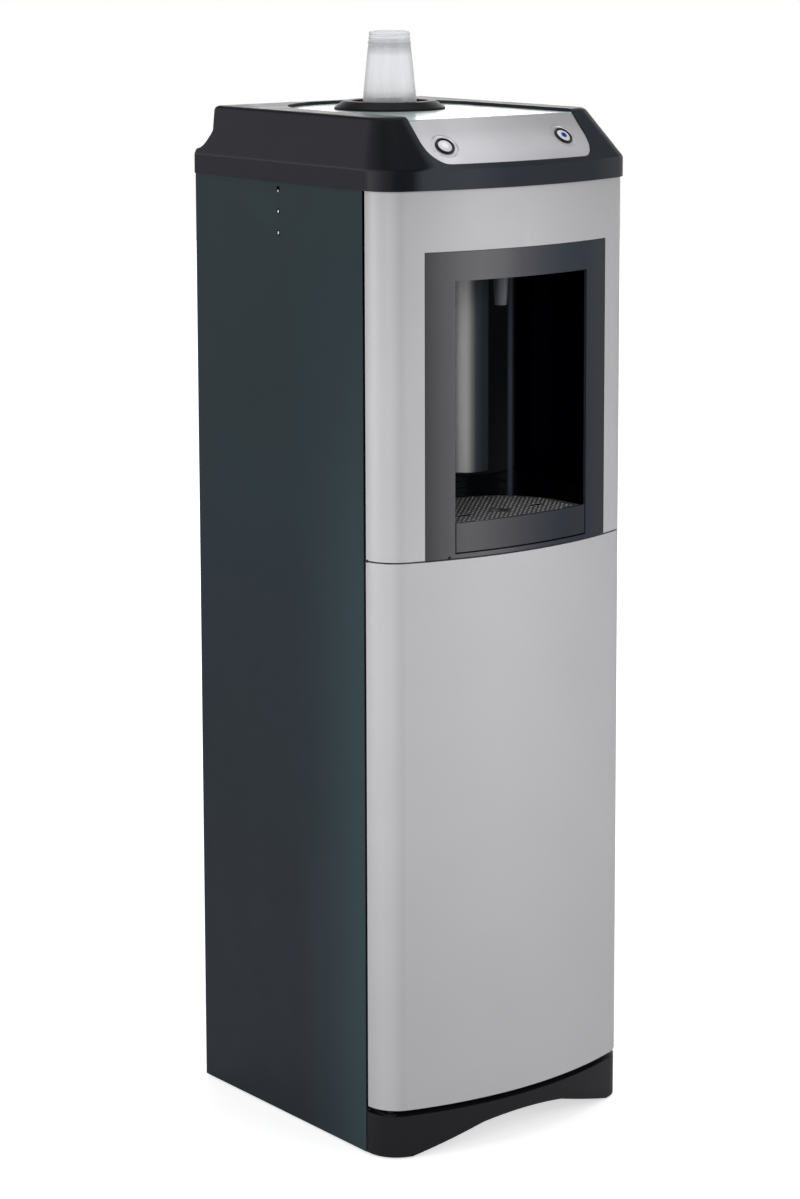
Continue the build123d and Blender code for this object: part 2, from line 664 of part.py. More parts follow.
def rear_cove():
    """Hollow along the cap's rear, above a low lip."""
    back = CAP_REAR
    lip, top = BAND_TOP + 5, RIM_TOP
    profile = make_face([
        Line((back + 5, lip), (back, lip)),
        ThreePointArc((back, lip), (back - REAR_COVE * 0.7, lip + REAR_COVE * 0.3),
                      (back - REAR_COVE, lip + REAR_COVE)),
        Line((back - REAR_COVE, lip + REAR_COVE), (back - REAR_COVE * 0.6, top - 3)),
        Line((back - REAR_COVE * 0.6, top - 3), (back - REAR_COVE, top + 1)),
        Polyline((back - REAR_COVE, top + 1), (back + 5, top + 1), (back + 5, lip))])
    return extrude(Plane.YZ * profile, amount=2 * HALF, both=True)


def tube_bore():
    """Cutter for the hole that the cup tube drops through."""
    return faceted(TUBE_BORE + TUBE_WALL + PLATE_GAP, 0, RIM_TOP + 9, 0, CUP_Y, sides=TURN_SIDES)


def cap():
    """Moulded black top: band, leaning sides, sloped front and a rim round the sunk field."""
    rim = bowed_outline(CAP_OVERHANG, CAP_REAR)
    band = ring_body([chord_ring(rim, CABINET_TOP), chord_ring(rim, BAND_TOP)])
    outer = band + slope_body(0.0, bevel=CAP_EDGE_CUT)
    outer -= rear_cove()
    band_inside = prism(bowed_plan(CAP_OVERHANG - MOULDING, CAP_REAR - MOULDING),
                        CABINET_TOP - 1, BAND_TOP)
    inside = band_inside + slope_body(MOULDING + 0.6, top=PLATE_BOTTOM - MOULDING)
    inside &= block((-HALF, HALF), (-SIDE_DEPTH, CAP_REAR - REAR_COVE - MOULDING), (0, RIM_TOP))
    shell = outer - inside
    shell -= prism(field_plan(FIELD_HALF), PLATE_BOTTOM, RIM_TOP + 1)
    shell -= panel_window(FIELD_HALF, BAND_TOP + PANEL_SILL) & prism(
        field_plan(FIELD_HALF), 0, RIM_TOP) & block((-HALF, HALF), (-SIDE_DEPTH, CREST_Y + 8), (0, RIM_TOP))
    return shell - tube_bore()


POSTS_X = (-90.0, -30.0, 30.0, 90.0)
POST_RADIUS = 3.0
BOARD_DEPTH = 16.0           # board's face below the control panel's face


def control_panel():
    """Silver fascia on the slope, with seats and bores for the buttons and posts behind it."""
    skin = slope_body(PANEL_SINK) - slope_body(PANEL_SINK + MOULDING)
    window = panel_window(FIELD_HALF - PLATE_GAP, BAND_TOP + PANEL_SILL + PLATE_GAP)
    skin &= window
    skin &= block((-HALF, HALF), (-SIDE_DEPTH, CREST_Y + 1), (0, FIELD_Z))
    for side in (-1, 1):
        frame = button_frame(side)
        skin -= frame * faceted(DISH_RADIUS, -DISH_DEPTH, BOARD_DEPTH, sides=TURN_SIDES)
        skin -= frame * faceted(BUTTON_RADIUS + PLATE_GAP, -BOARD_DEPTH, BOARD_DEPTH, sides=TURN_SIDES)
    behind = slope_body(PANEL_SINK + MOULDING / 2)
    for x in POSTS_X:
        post = Pos(x - BUTTON_X, 0, 0) * faceted(POST_RADIUS, -BOARD_DEPTH, BOARD_DEPTH, sides=6)
        skin += (button_frame(1) * post) & behind
    return skin


def button_frame(side):
    """Frame on the slope at a button: Z points out of the panel."""
    run = math.hypot(CREST_SETBACK + CAP_OVERHANG, CAP_RISE)
    up = ((CREST_SETBACK + CAP_OVERHANG) / run, CAP_RISE / run)
    bow_drop = BOW_RADIUS - math.sqrt(BOW_RADIUS ** 2 - BUTTON_X ** 2)
    share = BUTTON_UP / run
    y = FRONT_EDGE - BULGE - CAP_OVERHANG + bow_drop * (1 - share / 2) + BUTTON_UP * up[0]
    z = BAND_TOP + BUTTON_UP * up[1]
    normal = (0, -up[1], up[0])
    origin = Vector(side * BUTTON_X, y, z) - Vector(*normal) * PANEL_SINK
    return Plane(origin=origin, x_dir=(1, 0, 0), z_dir=normal).location


FLANGE_RADIUS = 9.6
FLANGE_THICK = 2.0
FLANGE_TOP = -MOULDING - PLATE_GAP - 0.2


def button_ring(side):
    """Dark ring round a button, seated in its dish."""
    profile = [(BUTTON_RADIUS + PLATE_GAP, -DISH_DEPTH), (RING_RADIUS, -DISH_DEPTH),
               (RING_RADIUS, 0.4), (BUTTON_RADIUS + PLATE_GAP, 1.0)]
    return button_frame(side) * lathe(profile)


def button(side):
    """Push button: domed face, skirt and a flange that stops under the panel."""
    top = FLANGE_TOP
    profile = [(0, BUTTON_DOME), (BUTTON_RADIUS - 2, 1.1), (BUTTON_RADIUS, 0.4), (BUTTON_RADIUS, top),
               (FLANGE_RADIUS, top), (FLANGE_RADIUS, top - FLANGE_THICK), (0, top - FLANGE_THICK)]
    return button_frame(side) * lathe(profile)


def button_mark(side):
    """Small centre mark let into the button's face."""
    return button_frame(side) * faceted(MARK_RADIUS, BUTTON_DOME, BUTTON_DOME + 0.3)


def button_spring(side):
    """Return spring between the button and the board."""
    height = BOARD_DEPTH + FLANGE_TOP - FLANGE_THICK
    return button_frame(side) * Pos(0, 0, -BOARD_DEPTH) * coil(6.5, 0.45, height, 3)


def control_board():
    """Circuit board under the control panel, with the two switches inside the springs."""
    middle = button_frame(1)
    board = middle * Pos(-BUTTON_X, 0, -BOARD_DEPTH - 0.8) * Box(2 * BUTTON_X + 34, 30, 1.6)
    tip = FLANGE_TOP - FLANGE_THICK - BUTTON_TRAVEL - PLATE_GAP
    height = BOARD_DEPTH + tip + 0.1
    for side in (-1, 1):
        board += button_frame(side) * faceted(3.5, tip - height, tip, sides=6)
    return board


def top_plate():
    """Tinted glass plate in the sunk field, with the bore for the cup tube."""
    front = CREST_Y + 1.3
    plate = prism(field_plan(FIELD_HALF - PLATE_GAP, front=front), PLATE_BOTTOM, FIELD_Z)
    return plate - tube_bore()


# ---------------------------------------------------------------- cup dispenser
def cup_collar():
    """Black sloped collar on the glass round the cup tube's mouth."""
    low, high = FIELD_Z, FIELD_Z + COLLAR_HEIGHT
    return lathe([(TUBE_BORE, low), (COLLAR_BASE, low), (COLLAR_BASE, low + 1.5),
                  (COLLAR_TOP + 1, high - 0.6), (COLLAR_TOP, high), (TUBE_BORE + 1.5, high),
                  (TUBE_BORE, high - 1.5)], 0, CUP_Y)


def cup_tube():
    """Tube that holds the stack, closed at its foot."""
    high = FIELD_Z - PLATE_GAP
    low = high - TUBE_LENGTH
    outer = TUBE_BORE + TUBE_WALL
    return lathe([(0, low), (outer, low), (outer, high), (TUBE_BORE, high), (TUBE_BORE, low + TUBE_WALL),
                  (0, low + TUBE_WALL)], 0, CUP_Y)


STACK_BOTTOM = CUPS_TOP - CUP_HEIGHT - (CUPS - 1) * CUP_PITCH
FOLLOWER = 3.0


def cup_stack():
    """Nested cups, upside down: base uppermost and the rims in steps below."""
    rim_top = CUPS_TOP - CUP_HEIGHT
    points = [(0, CUPS_TOP - 1.2), (CUP_BASE_RADIUS - 2, CUPS_TOP - 1.2), (CUP_BASE_RADIUS - 1, CUPS_TOP),
              (CUP_BASE_RADIUS, CUPS_TOP - 1), (CUP_RIM_RADIUS - 1.5, rim_top + 3)]
    for i in range(CUPS):
        z = rim_top - i * CUP_PITCH
        points += [(CUP_RIM_RADIUS, z), (CUP_RIM_RADIUS - 1.2, z - CUP_PITCH + 2.6)]
    points.pop()
    inner = CUP_RIM_RADIUS - 3.5
    points += [(inner, STACK_BOTTOM), (CUP_BASE_RADIUS - 2.5, STACK_BOTTOM + CUP_HEIGHT - 4),
               (0, STACK_BOTTOM + CUP_HEIGHT - 4)]
    return lathe(points, 0, CUP_Y, sides=20)


def cup_follower():
    """Plate that lifts the stack, guided by the tube."""
    top = STACK_BOTTOM
    return lathe([(0, top), (TUBE_BORE - 0.5, top), (TUBE_BORE - 0.5, top - 12), (TUBE_BORE - 2.5, top - 12),
                  (TUBE_BORE - 2.5, top - FOLLOWER), (0, top - FOLLOWER)], 0, CUP_Y)


def follower_spring():
    """Long light spring under the follower."""
    low = FIELD_Z - PLATE_GAP - TUBE_LENGTH + TUBE_WALL
    height = STACK_BOTTOM - FOLLOWER - low
    return Pos(0, CUP_Y, low) * coil(30.0, 0.9, height, 4)


# ---------------------------------------------------------------- refrigeration
WORKS_GAP = 8.0              # between the works and the cabinet's walls
COMPRESSOR_RADIUS = 52.0
PLATE_MARGIN = 12.0          # foot plate beyond the pot
COMPRESSOR_X = INNER_HALF - WORKS_GAP - PLATE_MARGIN - COMPRESSOR_RADIUS
COMPRESSOR_Y = BACK_DEPTH - WORKS_GAP - COMPRESSOR_RADIUS
MOUNT_HEIGHT = 12.0
MOUNT_RADIUS = 9.0
STUB_X, STUB_TOP = 20.0, 146.0
DECK = UPPER_BOTTOM


def compressor():
    """Sealed compressor: turned pot, foot plate and suction stub."""
    low = DECK + MOUNT_HEIGHT
    r = COMPRESSOR_RADIUS
    pot = lathe([(0, low + 2), (r - 6, low + 2), (r, low + 73), (r - 6, low + 118), (r - 24, low + 138),
                 (0, low + 144)], COMPRESSOR_X, y_at(COMPRESSOR_Y))
    width = 2 * (COMPRESSOR_RADIUS + PLATE_MARGIN)
    plate = Pos(COMPRESSOR_X, y_at(COMPRESSOR_Y), low + 1.5) * Box(width, 2 * COMPRESSOR_RADIUS - 8, 3)
    stub = faceted(4, low + 130, low + STUB_TOP, COMPRESSOR_X - STUB_X, y_at(COMPRESSOR_Y), sides=6)
    return pot + plate + stub


def compressor_mounts():
    """Rubber mounts between the foot plate and the shelf."""
    x, y = COMPRESSOR_X, y_at(COMPRESSOR_Y)
    high = DECK + MOUNT_HEIGHT
    dx = COMPRESSOR_RADIUS + PLATE_MARGIN - MOUNT_RADIUS
    dy = COMPRESSOR_RADIUS - 4 - MOUNT_RADIUS
    return [faceted(MOUNT_RADIUS, DECK, high, x + i * dx, y + j * dy) for i in (-1, 1) for j in (-1, 1)]


TANK_RADIUS = 38.0
NECK_RADIUS = 8.0
COIL_WIRE = 3.0
FOAM_WALL = 7.0
FOAM_RADIUS = TANK_RADIUS + 3 * COIL_WIRE + 2 + FOAM_WALL
TANK_X = -(INNER_HALF - WORKS_GAP - FOAM_RADIUS)
TANK_Y = BACK_DEPTH - WORKS_GAP - FOAM_RADIUS
TANK_BASE = DECK + 30.0
TANK_TOP = TANK_BASE + 150.0
FOAM_BASE = DECK
FOAM_LID = 24.0
FOAM_TOP = TANK_TOP + FOAM_LID
COIL_LIFT = 30.0             # coil above the tank's base
COIL_RISE = 90.0


def cold_tank():
    """Stainless tank with a neck up through the foam."""
    x, y = TANK_X, y_at(TANK_Y)
    return faceted(TANK_RADIUS, TANK_BASE, TANK_TOP, x, y, sides=24) + faceted(
        NECK_RADIUS, TANK_TOP, FOAM_TOP + 10, x, y)


def evaporator_coil():
    """Copper coil wound on the tank."""
    radius = TANK_RADIUS + 2 * COIL_WIRE
    return Pos(TANK_X, y_at(TANK_Y), TANK_BASE + COIL_LIFT) * coil(radius, COIL_WIRE, COIL_RISE, 4)


def tank_insulation():
    """Foam jacket round the cold tank."""
    x, y = TANK_X, y_at(TANK_Y)
    body = faceted(FOAM_RADIUS, FOAM_BASE, FOAM_TOP, x, y, sides=24)
    hollow = faceted(FOAM_RADIUS - FOAM_WALL, TANK_BASE, TANK_TOP + PLATE_GAP, x, y, sides=24)
    return body - hollow - faceted(NECK_RADIUS + PLATE_GAP, TANK_TOP - 1, FOAM_TOP + 1, x, y)


DRIER_X = INNER_HALF - 15.3
DRIER_Y = BACK_DEPTH - 20.0


def filter_drier():
    """Copper filter drier, upright beside the compressor, in a clip."""
    low = DECK + 40
    pod = faceted(9, low + 15, low + 90, DRIER_X, y_at(DRIER_Y))
    pod += faceted(3, low, low + 106, DRIER_X, y_at(DRIER_Y), sides=6)
    clip = block((DRIER_X - 1, INNER_HALF), (y_at(DRIER_Y) + 4, y_at(DRIER_Y) + 6), (low + 45, low + 60))
    return pod + clip


CONDENSER_Y = BACK_Y + 14.0
CONDENSER_HALF = 128.0
CONDENSER_LOW = 170.0
CONDENSER_PITCH = 122.0
CONDENSER_BEND = 30.0
PASSES = 7
CONDENSER_TUBE = 2.5
WIRE = 0.8
WIRES = 16


def condenser_tube():
    """Serpentine tube of the condenser."""
    points = []
    for i in range(PASSES):
        z = CONDENSER_LOW + i * CONDENSER_PITCH
        ends = [(-CONDENSER_HALF, CONDENSER_Y, z), (CONDENSER_HALF, CONDENSER_Y, z)]
        points += ends if i % 2 == 0 else ends[::-1]
    return pipe(points, CONDENSER_TUBE, CONDENSER_BEND, sides=4)


def wire_x(number):
    """X of a condenser wire, counted from the left."""
    outermost = CONDENSER_HALF - CONDENSER_BEND - 3
    return outermost * (2 * number / (WIRES - 1) - 1)


def condenser_wires():
    """Upright wires on both faces of the serpentine."""
    low = CONDENSER_LOW - 12
    high = CONDENSER_LOW + (PASSES - 1) * CONDENSER_PITCH + 12
    wires = []
    for face in (-1, 1):
        y = CONDENSER_Y + face * (CONDENSER_TUBE + WIRE + 0.05)
        for i in range(WIRES):
            x = wire_x(i)
            wires.append(block((x - WIRE, x + WIRE), (y - WIRE, y + WIRE), (low, high)))
    return wires


def condenser_clips():
    """Standoffs that carry the condenser off the back panel."""
    clips = []
    for wire in (1.5, WIRES - 2.5):
        for i in (1, PASSES - 2):
            z = CONDENSER_LOW + i * CONDENSER_PITCH
            x = wire_x(wire)
            clip = block((x - 3, x + 3), (BACK_Y + SHEET, CONDENSER_Y + 4), (z - 6, z + 6))
            reach = CONDENSER_TUBE + 0.1
            groove = block((x - 9, x + 9), (CONDENSER_Y - reach, CONDENSER_Y + 9), (z - reach, z + reach))
            clips.append(clip - groove)
    return clips


def suction_line():
    """Copper line from the tank's coil to the compressor."""
    foot = DECK + MOUNT_HEIGHT + STUB_TOP
    start_x, turn_x, end_x = TANK_X + FOAM_RADIUS + 0.1, TANK_X + FOAM_RADIUS + 26, COMPRESSOR_X - STUB_X
    y, end_y = y_at(TANK_Y), y_at(COMPRESSOR_Y)
    return pipe([(start_x, y, foot - 12), (turn_x, y, foot - 12), (turn_x, y, foot + 16),
                 (end_x, end_y, foot + 16), (end_x, end_y, foot)], 3.0, 6.0)


# ---------------------------------------------------------------- water path
PUMP_X = INNER_HALF - 64.3
PUMP_Y = 98.0


def supply_pump():
    """Diaphragm pump lying on the shelf: motor, head and foot."""
    y, z = y_at(PUMP_Y), DECK + 24
    motor = Pos(PUMP_X, y, z) * Rot(0, 90, 0) * faceted(17, -25, 25, sides=16)
    head = Pos(PUMP_X - 36, y, z) * Box(24, 36, 40)
    foot = block((PUMP_X - 40, PUMP_X + 25), (y - 15, y + 15), (DECK, DECK + 8))
    return motor + head + foot


BULKHEAD_X = PUMP_X - 60.0
BULKHEAD_Y = y_at(PUMP_Y)
BULKHEAD_RADIUS = 5.0
PROBE_X = INNER_HALF - 51.3
PROBE_Y = BACK_Y - 36.0
PROBE_CAP_Z = 470.0
PROBE_RADIUS = 27.0
PROBE_FOOT = 90.0


def bulkhead():
    """Fitting through the shelf where the probe's hose ends."""
    low = DECK - SHEET
    return (faceted(BULKHEAD_RADIUS, low - 14, DECK + 6, BULKHEAD_X, BULKHEAD_Y)
            + faceted(9, low - 5, low, BULKHEAD_X, BULKHEAD_Y, sides=6))


def probe():
    """Bottle cap with its dip tube and slotted foot."""
    z = PROBE_CAP_Z
    cap_part = lathe([(0, z), (PROBE_RADIUS - 1, z), (PROBE_RADIUS, z - 2), (PROBE_RADIUS, z - 26),
                      (PROBE_RADIUS - 2.5, z - 26), (PROBE_RADIUS - 2.5, z - 4), (0, z - 4)],
                     PROBE_X, PROBE_Y)
    stem = faceted(6, PROBE_FOOT + 14, z - 2, PROBE_X, PROBE_Y)
    foot = faceted(10, PROBE_FOOT, PROBE_FOOT + 20, PROBE_X, PROBE_Y)
    spigot = faceted(4.5, z - 1, z + 16, PROBE_X, PROBE_Y, sides=6)
    return cap_part + stem + foot + spigot


def probe_hose():
    """Silicone hose from the probe up to the bulkhead."""
    low = DECK - SHEET - 14
    start = (PROBE_X, PROBE_Y, PROBE_CAP_Z + 16)
    points = [start, (PROBE_X, PROBE_Y, start[2] + 40),
              ((PROBE_X + BULKHEAD_X) / 2, (PROBE_Y + BULKHEAD_Y) / 2, start[2] + 62),
              (BULKHEAD_X, BULKHEAD_Y, start[2] + 62), (BULKHEAD_X, BULKHEAD_Y, low)]
    return pipe(points, 5.0, 16.0)


def probe_holder():
    """Forked shelf on the back panel that the probe's cap rests on."""
    top = PROBE_CAP_Z - 26
    arm = block((PROBE_X - 32, PROBE_X + 32), (PROBE_Y - 16, BACK_Y), (top - 3, top))
    arm += block((PROBE_X - 32, PROBE_X + 32), (BACK_Y - 3, BACK_Y), (top - 24, top))
    slot = block((PROBE_X - 11, PROBE_X + 11), (PROBE_Y - 40, PROBE_Y), (top - 9, top + 1))
    return arm - slot - faceted(11, top - 9, top + 1, PROBE_X, PROBE_Y)


def water_lines():
    """Tubes inside the cabinet: pump to tank, tank and pump up to the two valves."""
    roof = OPENING_TOP + LINER_WALL + 11
    valve_y = VALVE_Y + VALVE_REACH
    side_y = y_at(PUMP_Y - 3)
    cold = pipe([(TANK_X, y_at(TANK_Y), FOAM_TOP + 10), (TANK_X, y_at(TANK_Y), roof),
                 (-VALVE_X, y_at(TANK_Y) - 40, roof), (-VALVE_X, valve_y, roof)], 3.5, 14.0)
    ambient = pipe([(PUMP_X - 40, side_y, DECK + 44), (PUMP_X - 40, side_y, roof),
                    (VALVE_X, side_y - 28, roof), (VALVE_X, valve_y, roof)], 3.5, 8.0)
    return [cold, ambient]


def power_inlet():
    """Appliance inlet in the lower back panel."""
    x, z = -INNER_HALF + 52, 96.0
    body = block((x - 25, x + 25), (BACK_Y - 18, BACK_Y), (z - 14, z + 14))
    face = block((x - 25, x + 25), (BACK_Y + SHEET, BACK_Y + SHEET + 3), (z - 14, z + 14))
    well = block((x - 12, x + 12), (BACK_Y - 14, BACK_Y + 9), (z - 8, z + 8))
    through = block((x - 14, x + 14), (BACK_Y - 1, BACK_Y + SHEET + 1), (z - 10, z + 10))
    blades = []
    for dx, dz in ((-7, -2), (0, 3), (7, -2)):
        blades.append(block((x + dx - 1, x + dx + 1), (BACK_Y - 15, BACK_Y + 1), (z + dz - 2, z + dz + 2)))
    inlet = body + face + through - well
    for blade in blades:
        inlet += blade
    return inlet


def inlet_hole():
    """Cut-out in the back panel for the inlet."""
    x, z = -INNER_HALF + 52, 96.0
    return block((x - 14, x + 14), (BACK_Y - 5, BACK_Y + 5), (z - 10, z + 10))


# ---------------------------------------------------------------- writing
def all_parts():
    parts = {
        "left_side_panel": side_panel(-1), "right_side_panel": side_panel(1), "hole_plugs": hole_plugs(),
        "feet": feet(), "base_pan": base_pan(), "plinth": plinth(), "back_panel": back_panel() - inlet_hole(),
        "mid_shelf": mid_shelf(), "door_skin": door_skin(), "door_liner": door_liner(),
        "hinge_bushes": hinge_bushes(), "lower_hinge": lower_hinge(), "upper_hinge": upper_hinge(),
        "door_magnet": door_magnet(), "door_strike": door_strike(), "upper_front": upper_front(),
        "alcove_bezel": alcove_bezel(), "alcove_liner": alcove_liner(), "light_column": light_column(),
        "drip_tray": drip_tray(), "drip_grille": drip_grille(), "nozzle": nozzle(),
        "cold_valve": valve(-1), "ambient_valve": valve(1), "nozzle_manifold": nozzle_manifold(),
        "nozzle_lines": nozzle_lines(), "cap": cap(), "top_plate": top_plate(),
        "control_panel": control_panel(), "control_board": control_board(),
        "cup_collar": cup_collar(), "cup_tube": cup_tube(), "cup_stack": cup_stack(),
        "cup_follower": cup_follower(), "follower_spring": follower_spring(), "compressor": compressor(),
        "compressor_mounts": compressor_mounts(), "cold_tank": cold_tank(),
        "evaporator_coil": evaporator_coil(),
        "tank_insulation": tank_insulation(), "filter_drier": filter_drier(),
        "condenser_tube": condenser_tube(), "condenser_wires": condenser_wires(),
        "condenser_clips": condenser_clips(), "suction_line": suction_line(), "supply_pump": supply_pump(),
        "bulkhead": bulkhead(), "probe": probe(), "probe_hose": probe_hose(), "probe_holder": probe_holder(),
        "water_lines": water_lines(), "power_inlet": power_inlet(),
    }
    for side, name in ((-1, "ambient"), (1, "cold")):
        parts[f"{name}_button"] = button(side)
        parts[f"{name}_ring"] = button_ring(side)
        parts[f"{name}_mark"] = button_mark(side)
        parts[f"{name}_spring"] = button_spring(side)
    return parts


os.makedirs("parts", exist_ok=True)
for name, shape in all_parts().items():
    if isinstance(shape, list):
        shape = Compound(children=[Compound(children=list(s.solids())) if len(s.solids()) > 1 else s.solid()
                                   for s in shape])
    export_step(shape, f"parts/{name}.step")
    print(name, round(shape.volume), len(shape.solids()))
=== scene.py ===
"""Bottom load water cooler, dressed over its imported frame.

Every piece is modelled on the bench in millimetres with Blender's own tools and then brought
to metres. The origin is on the floor at the middle of the cabinet; -Y is the front.
"""

import json
import logging
import math
from dataclasses import dataclass, field
from enum import Enum
from typing import Any, Callable, ClassVar, Iterable, Mapping, Sequence

import bmesh
import bpy
from mathutils import Matrix, Vector

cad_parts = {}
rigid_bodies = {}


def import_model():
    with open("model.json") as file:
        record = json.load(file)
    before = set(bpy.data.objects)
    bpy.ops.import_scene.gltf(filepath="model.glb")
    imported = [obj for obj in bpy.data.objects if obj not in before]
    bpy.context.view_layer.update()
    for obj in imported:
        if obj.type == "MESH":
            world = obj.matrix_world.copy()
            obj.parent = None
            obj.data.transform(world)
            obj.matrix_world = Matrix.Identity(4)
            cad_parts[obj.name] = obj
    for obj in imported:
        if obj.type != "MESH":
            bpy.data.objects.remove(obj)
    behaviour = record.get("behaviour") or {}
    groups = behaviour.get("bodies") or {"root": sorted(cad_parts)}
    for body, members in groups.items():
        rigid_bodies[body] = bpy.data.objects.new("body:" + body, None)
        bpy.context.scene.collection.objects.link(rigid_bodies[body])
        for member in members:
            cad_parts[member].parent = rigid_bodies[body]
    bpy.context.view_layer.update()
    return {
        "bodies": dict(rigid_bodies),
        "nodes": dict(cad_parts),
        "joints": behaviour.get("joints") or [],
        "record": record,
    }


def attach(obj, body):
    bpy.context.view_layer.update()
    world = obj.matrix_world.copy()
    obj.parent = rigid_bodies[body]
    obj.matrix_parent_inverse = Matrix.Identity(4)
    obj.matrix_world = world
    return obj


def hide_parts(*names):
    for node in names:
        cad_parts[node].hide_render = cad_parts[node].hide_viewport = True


LOG = logging.getLogger("water_cooler")
MM = 0.001       # metres to the millimetre
WELD = 0.004     # millimetres within which vertices are merged
CLOSE = 0.02     # millimetres within which two places count as one
SHARP = 32.0     # degrees above which an edge is shaded and rounded as a sharp one
AHEAD = -400.0   # Y of a cutter's start, well ahead of the cabinet
SPAN = 200.0     # half width of a cutter that spans the cabinet
PAST = 5.0       # how far a cutter reaches past what it cuts
DRILL = 9.0      # half length of a short drill
FIT = 0.3        # millimetres between fitted pieces
LIP = 9.0        # depth of the lips along a shell's edges
Point = Sequence[float]
Colour = tuple[float, float, float, float]
Test = Callable[[Vector, Vector], bool]


# ------------------------------------------------------------------ the bench
class Kind(Enum):
    """What a selection is made of."""

    VERTEX = "VERT"
    EDGE = "EDGE"
    FACE = "FACE"


def clear_selection() -> None:
    """Leave edit mode and deselect every object."""
    if bpy.context.object is not None and bpy.context.object.mode != "OBJECT":
        bpy.ops.object.mode_set(mode="OBJECT")
    bpy.ops.object.select_all(action="DESELECT")


class Workpiece:
    """One mesh on the bench, in millimetres until it is finished."""

    def __init__(self, name: str) -> None:
        """Take up the active object.

        Args:
            name: name that the piece is finished under.
        """
        self.obj = bpy.context.active_object
        self.obj.name = name
        self.pen = Vector((0.0, 0.0, 0.0))
        bpy.ops.object.transform_apply(location=True, rotation=True, scale=True)

    # -- starts
    @classmethod
    def thread(cls, name: str, start: Point) -> "Workpiece":
        """Start a line of edges from one vertex.

        Args:
            name: name of the piece.
            start: where the line starts.

        Returns:
            The piece, in edit mode with its only vertex selected.
        """
        clear_selection()
        bpy.ops.mesh.primitive_plane_add(size=1, location=start)
        piece = cls(name)
        piece.edit().whole()
        bpy.ops.mesh.merge(type="CENTER")
        piece.pen = Vector(start)
        return piece

    @classmethod
    def block(cls, name: str, x: Point, y: Point, z: Point) -> "Workpiece":
        """Start from a box between pairs of limits.

        Args:
            name: name of the piece.
            x: lowest and highest X.
            y: lowest and highest Y.
            z: lowest and highest Z.

        Returns:
            The piece.
        """
        clear_selection()
        centre = [(pair[0] + pair[1]) / 2 for pair in (x, y, z)]
        size = [pair[1] - pair[0] for pair in (x, y, z)]
        bpy.ops.mesh.primitive_cube_add(size=1, location=centre, scale=size)
        return cls(name)

    @classmethod
    def cylinder(cls, name: str, radius: float, low: float, high: float,
                 at: Point = (0.0, 0.0), sides: int = 64) -> "Workpiece":
        """Start from an upright cylinder.

        Args:
            name: name of the piece.
            radius: its radius.
            low: height of its foot.
            high: height of its top.
            at: X and Y of its axis.
            sides: number of sides.

        Returns:
            The piece.
        """
        clear_selection()
        bpy.ops.mesh.primitive_cylinder_add(vertices=sides, radius=radius, depth=high - low,
                                            location=(at[0], at[1], (low + high) / 2))
        return cls(name)

    @classmethod
    def turned(cls, name: str, profile: Iterable[Point], at: Point = (0.0, 0.0), steps: int = 72,
               closed: bool = True) -> "Workpiece":
        """Turn a profile about an upright axis.

        Args:
            name: name of the piece.
            profile: radius and height of each point of the profile.
            at: X and Y of the axis.
            steps: number of steps in the turn.
            closed: whether the profile comes back to its first point.

        Returns:
            The piece, with its seam and poles welded.
        """
        points = [(at[0] + radius, at[1], height) for radius, height in profile]
        piece = cls.thread(name, points[0])
        piece.line(*points[1:])
        if closed:
            piece.line(points[0])
        piece.whole()
        bpy.ops.mesh.spin(steps=steps, angle=2 * math.pi, center=(at[0], at[1], 0), axis=(0, 0, 1))
        return piece.weld().outward()

    @property
    def foot(self) -> float:
        """Lowest Z of the mesh."""
        return min(vertex.co.z for vertex in self.obj.data.vertices)

    # -- edit mode
    def edit(self, kind: Kind = Kind.VERTEX) -> "Workpiece":
        """Go into edit mode on this piece, with one kind of selection."""
        if self.obj.mode != "EDIT":
            clear_selection()
            self.obj.select_set(True)
            bpy.context.view_layer.objects.active = self.obj
            bpy.ops.object.mode_set(mode="EDIT")
        bpy.ops.mesh.select_mode(type=kind.value)
        return self

    def whole(self) -> "Workpiece":
        """Select all of the mesh in edit mode."""
        bpy.ops.mesh.select_all(action="SELECT")
        return self

    def done(self) -> "Workpiece":
        """Go back to object mode with only this piece selected."""
        clear_selection()
        self.obj.select_set(True)
        bpy.context.view_layer.objects.active = self.obj
        return self

    def pick(self, kind: Kind, test: Test) -> "Workpiece":
        """Select by place or normal.

        Args:
            kind: what is selected.
            test: takes a place and a normal; an edge needs both its ends to pass.

        Returns:
            The piece, in edit mode.
        """
        self.edit(kind)
        bpy.ops.mesh.select_all(action="DESELECT")
        mesh = bmesh.from_edit_mesh(self.obj.data)
        if kind is Kind.FACE:
            chosen = [face for face in mesh.faces if test(face.calc_center_median(), face.normal)]
        elif kind is Kind.EDGE:
            chosen = [edge for edge in mesh.edges
                      if all(test(end.co, end.normal) for end in edge.verts)]
        else:
            chosen = [vertex for vertex in mesh.verts if test(vertex.co, vertex.normal)]
        for element in chosen:
            element.select_set(True)
        mesh.select_flush_mode()
        bmesh.update_edit_mesh(self.obj.data)
        return self

    def line(self, *points: Point) -> "Workpiece":
        """Extrude the line's end vertex from place to place."""
        for point in points:
            self.extrude(Vector(point) - self.pen)
            self.pen = Vector(point)
        return self

    def arc(self, centre: Point, turn: float, steps: int, axis: Point = (0, 0, 1)) -> "Workpiece":
        """Spin the line's end vertex about a centre.

        Args:
            centre: centre of the arc.
            turn: angle in degrees, anticlockwise as seen from the axis's tip.
            steps: number of steps.
            axis: direction of the axis.

        Returns:
            The piece.
        """
        bpy.ops.mesh.spin(steps=steps, angle=-math.radians(turn), center=centre, axis=axis)
        spun = Matrix.Rotation(math.radians(turn), 3, Vector(axis))
        self.pen = Vector(centre) + spun @ (self.pen - Vector(centre))
        return self

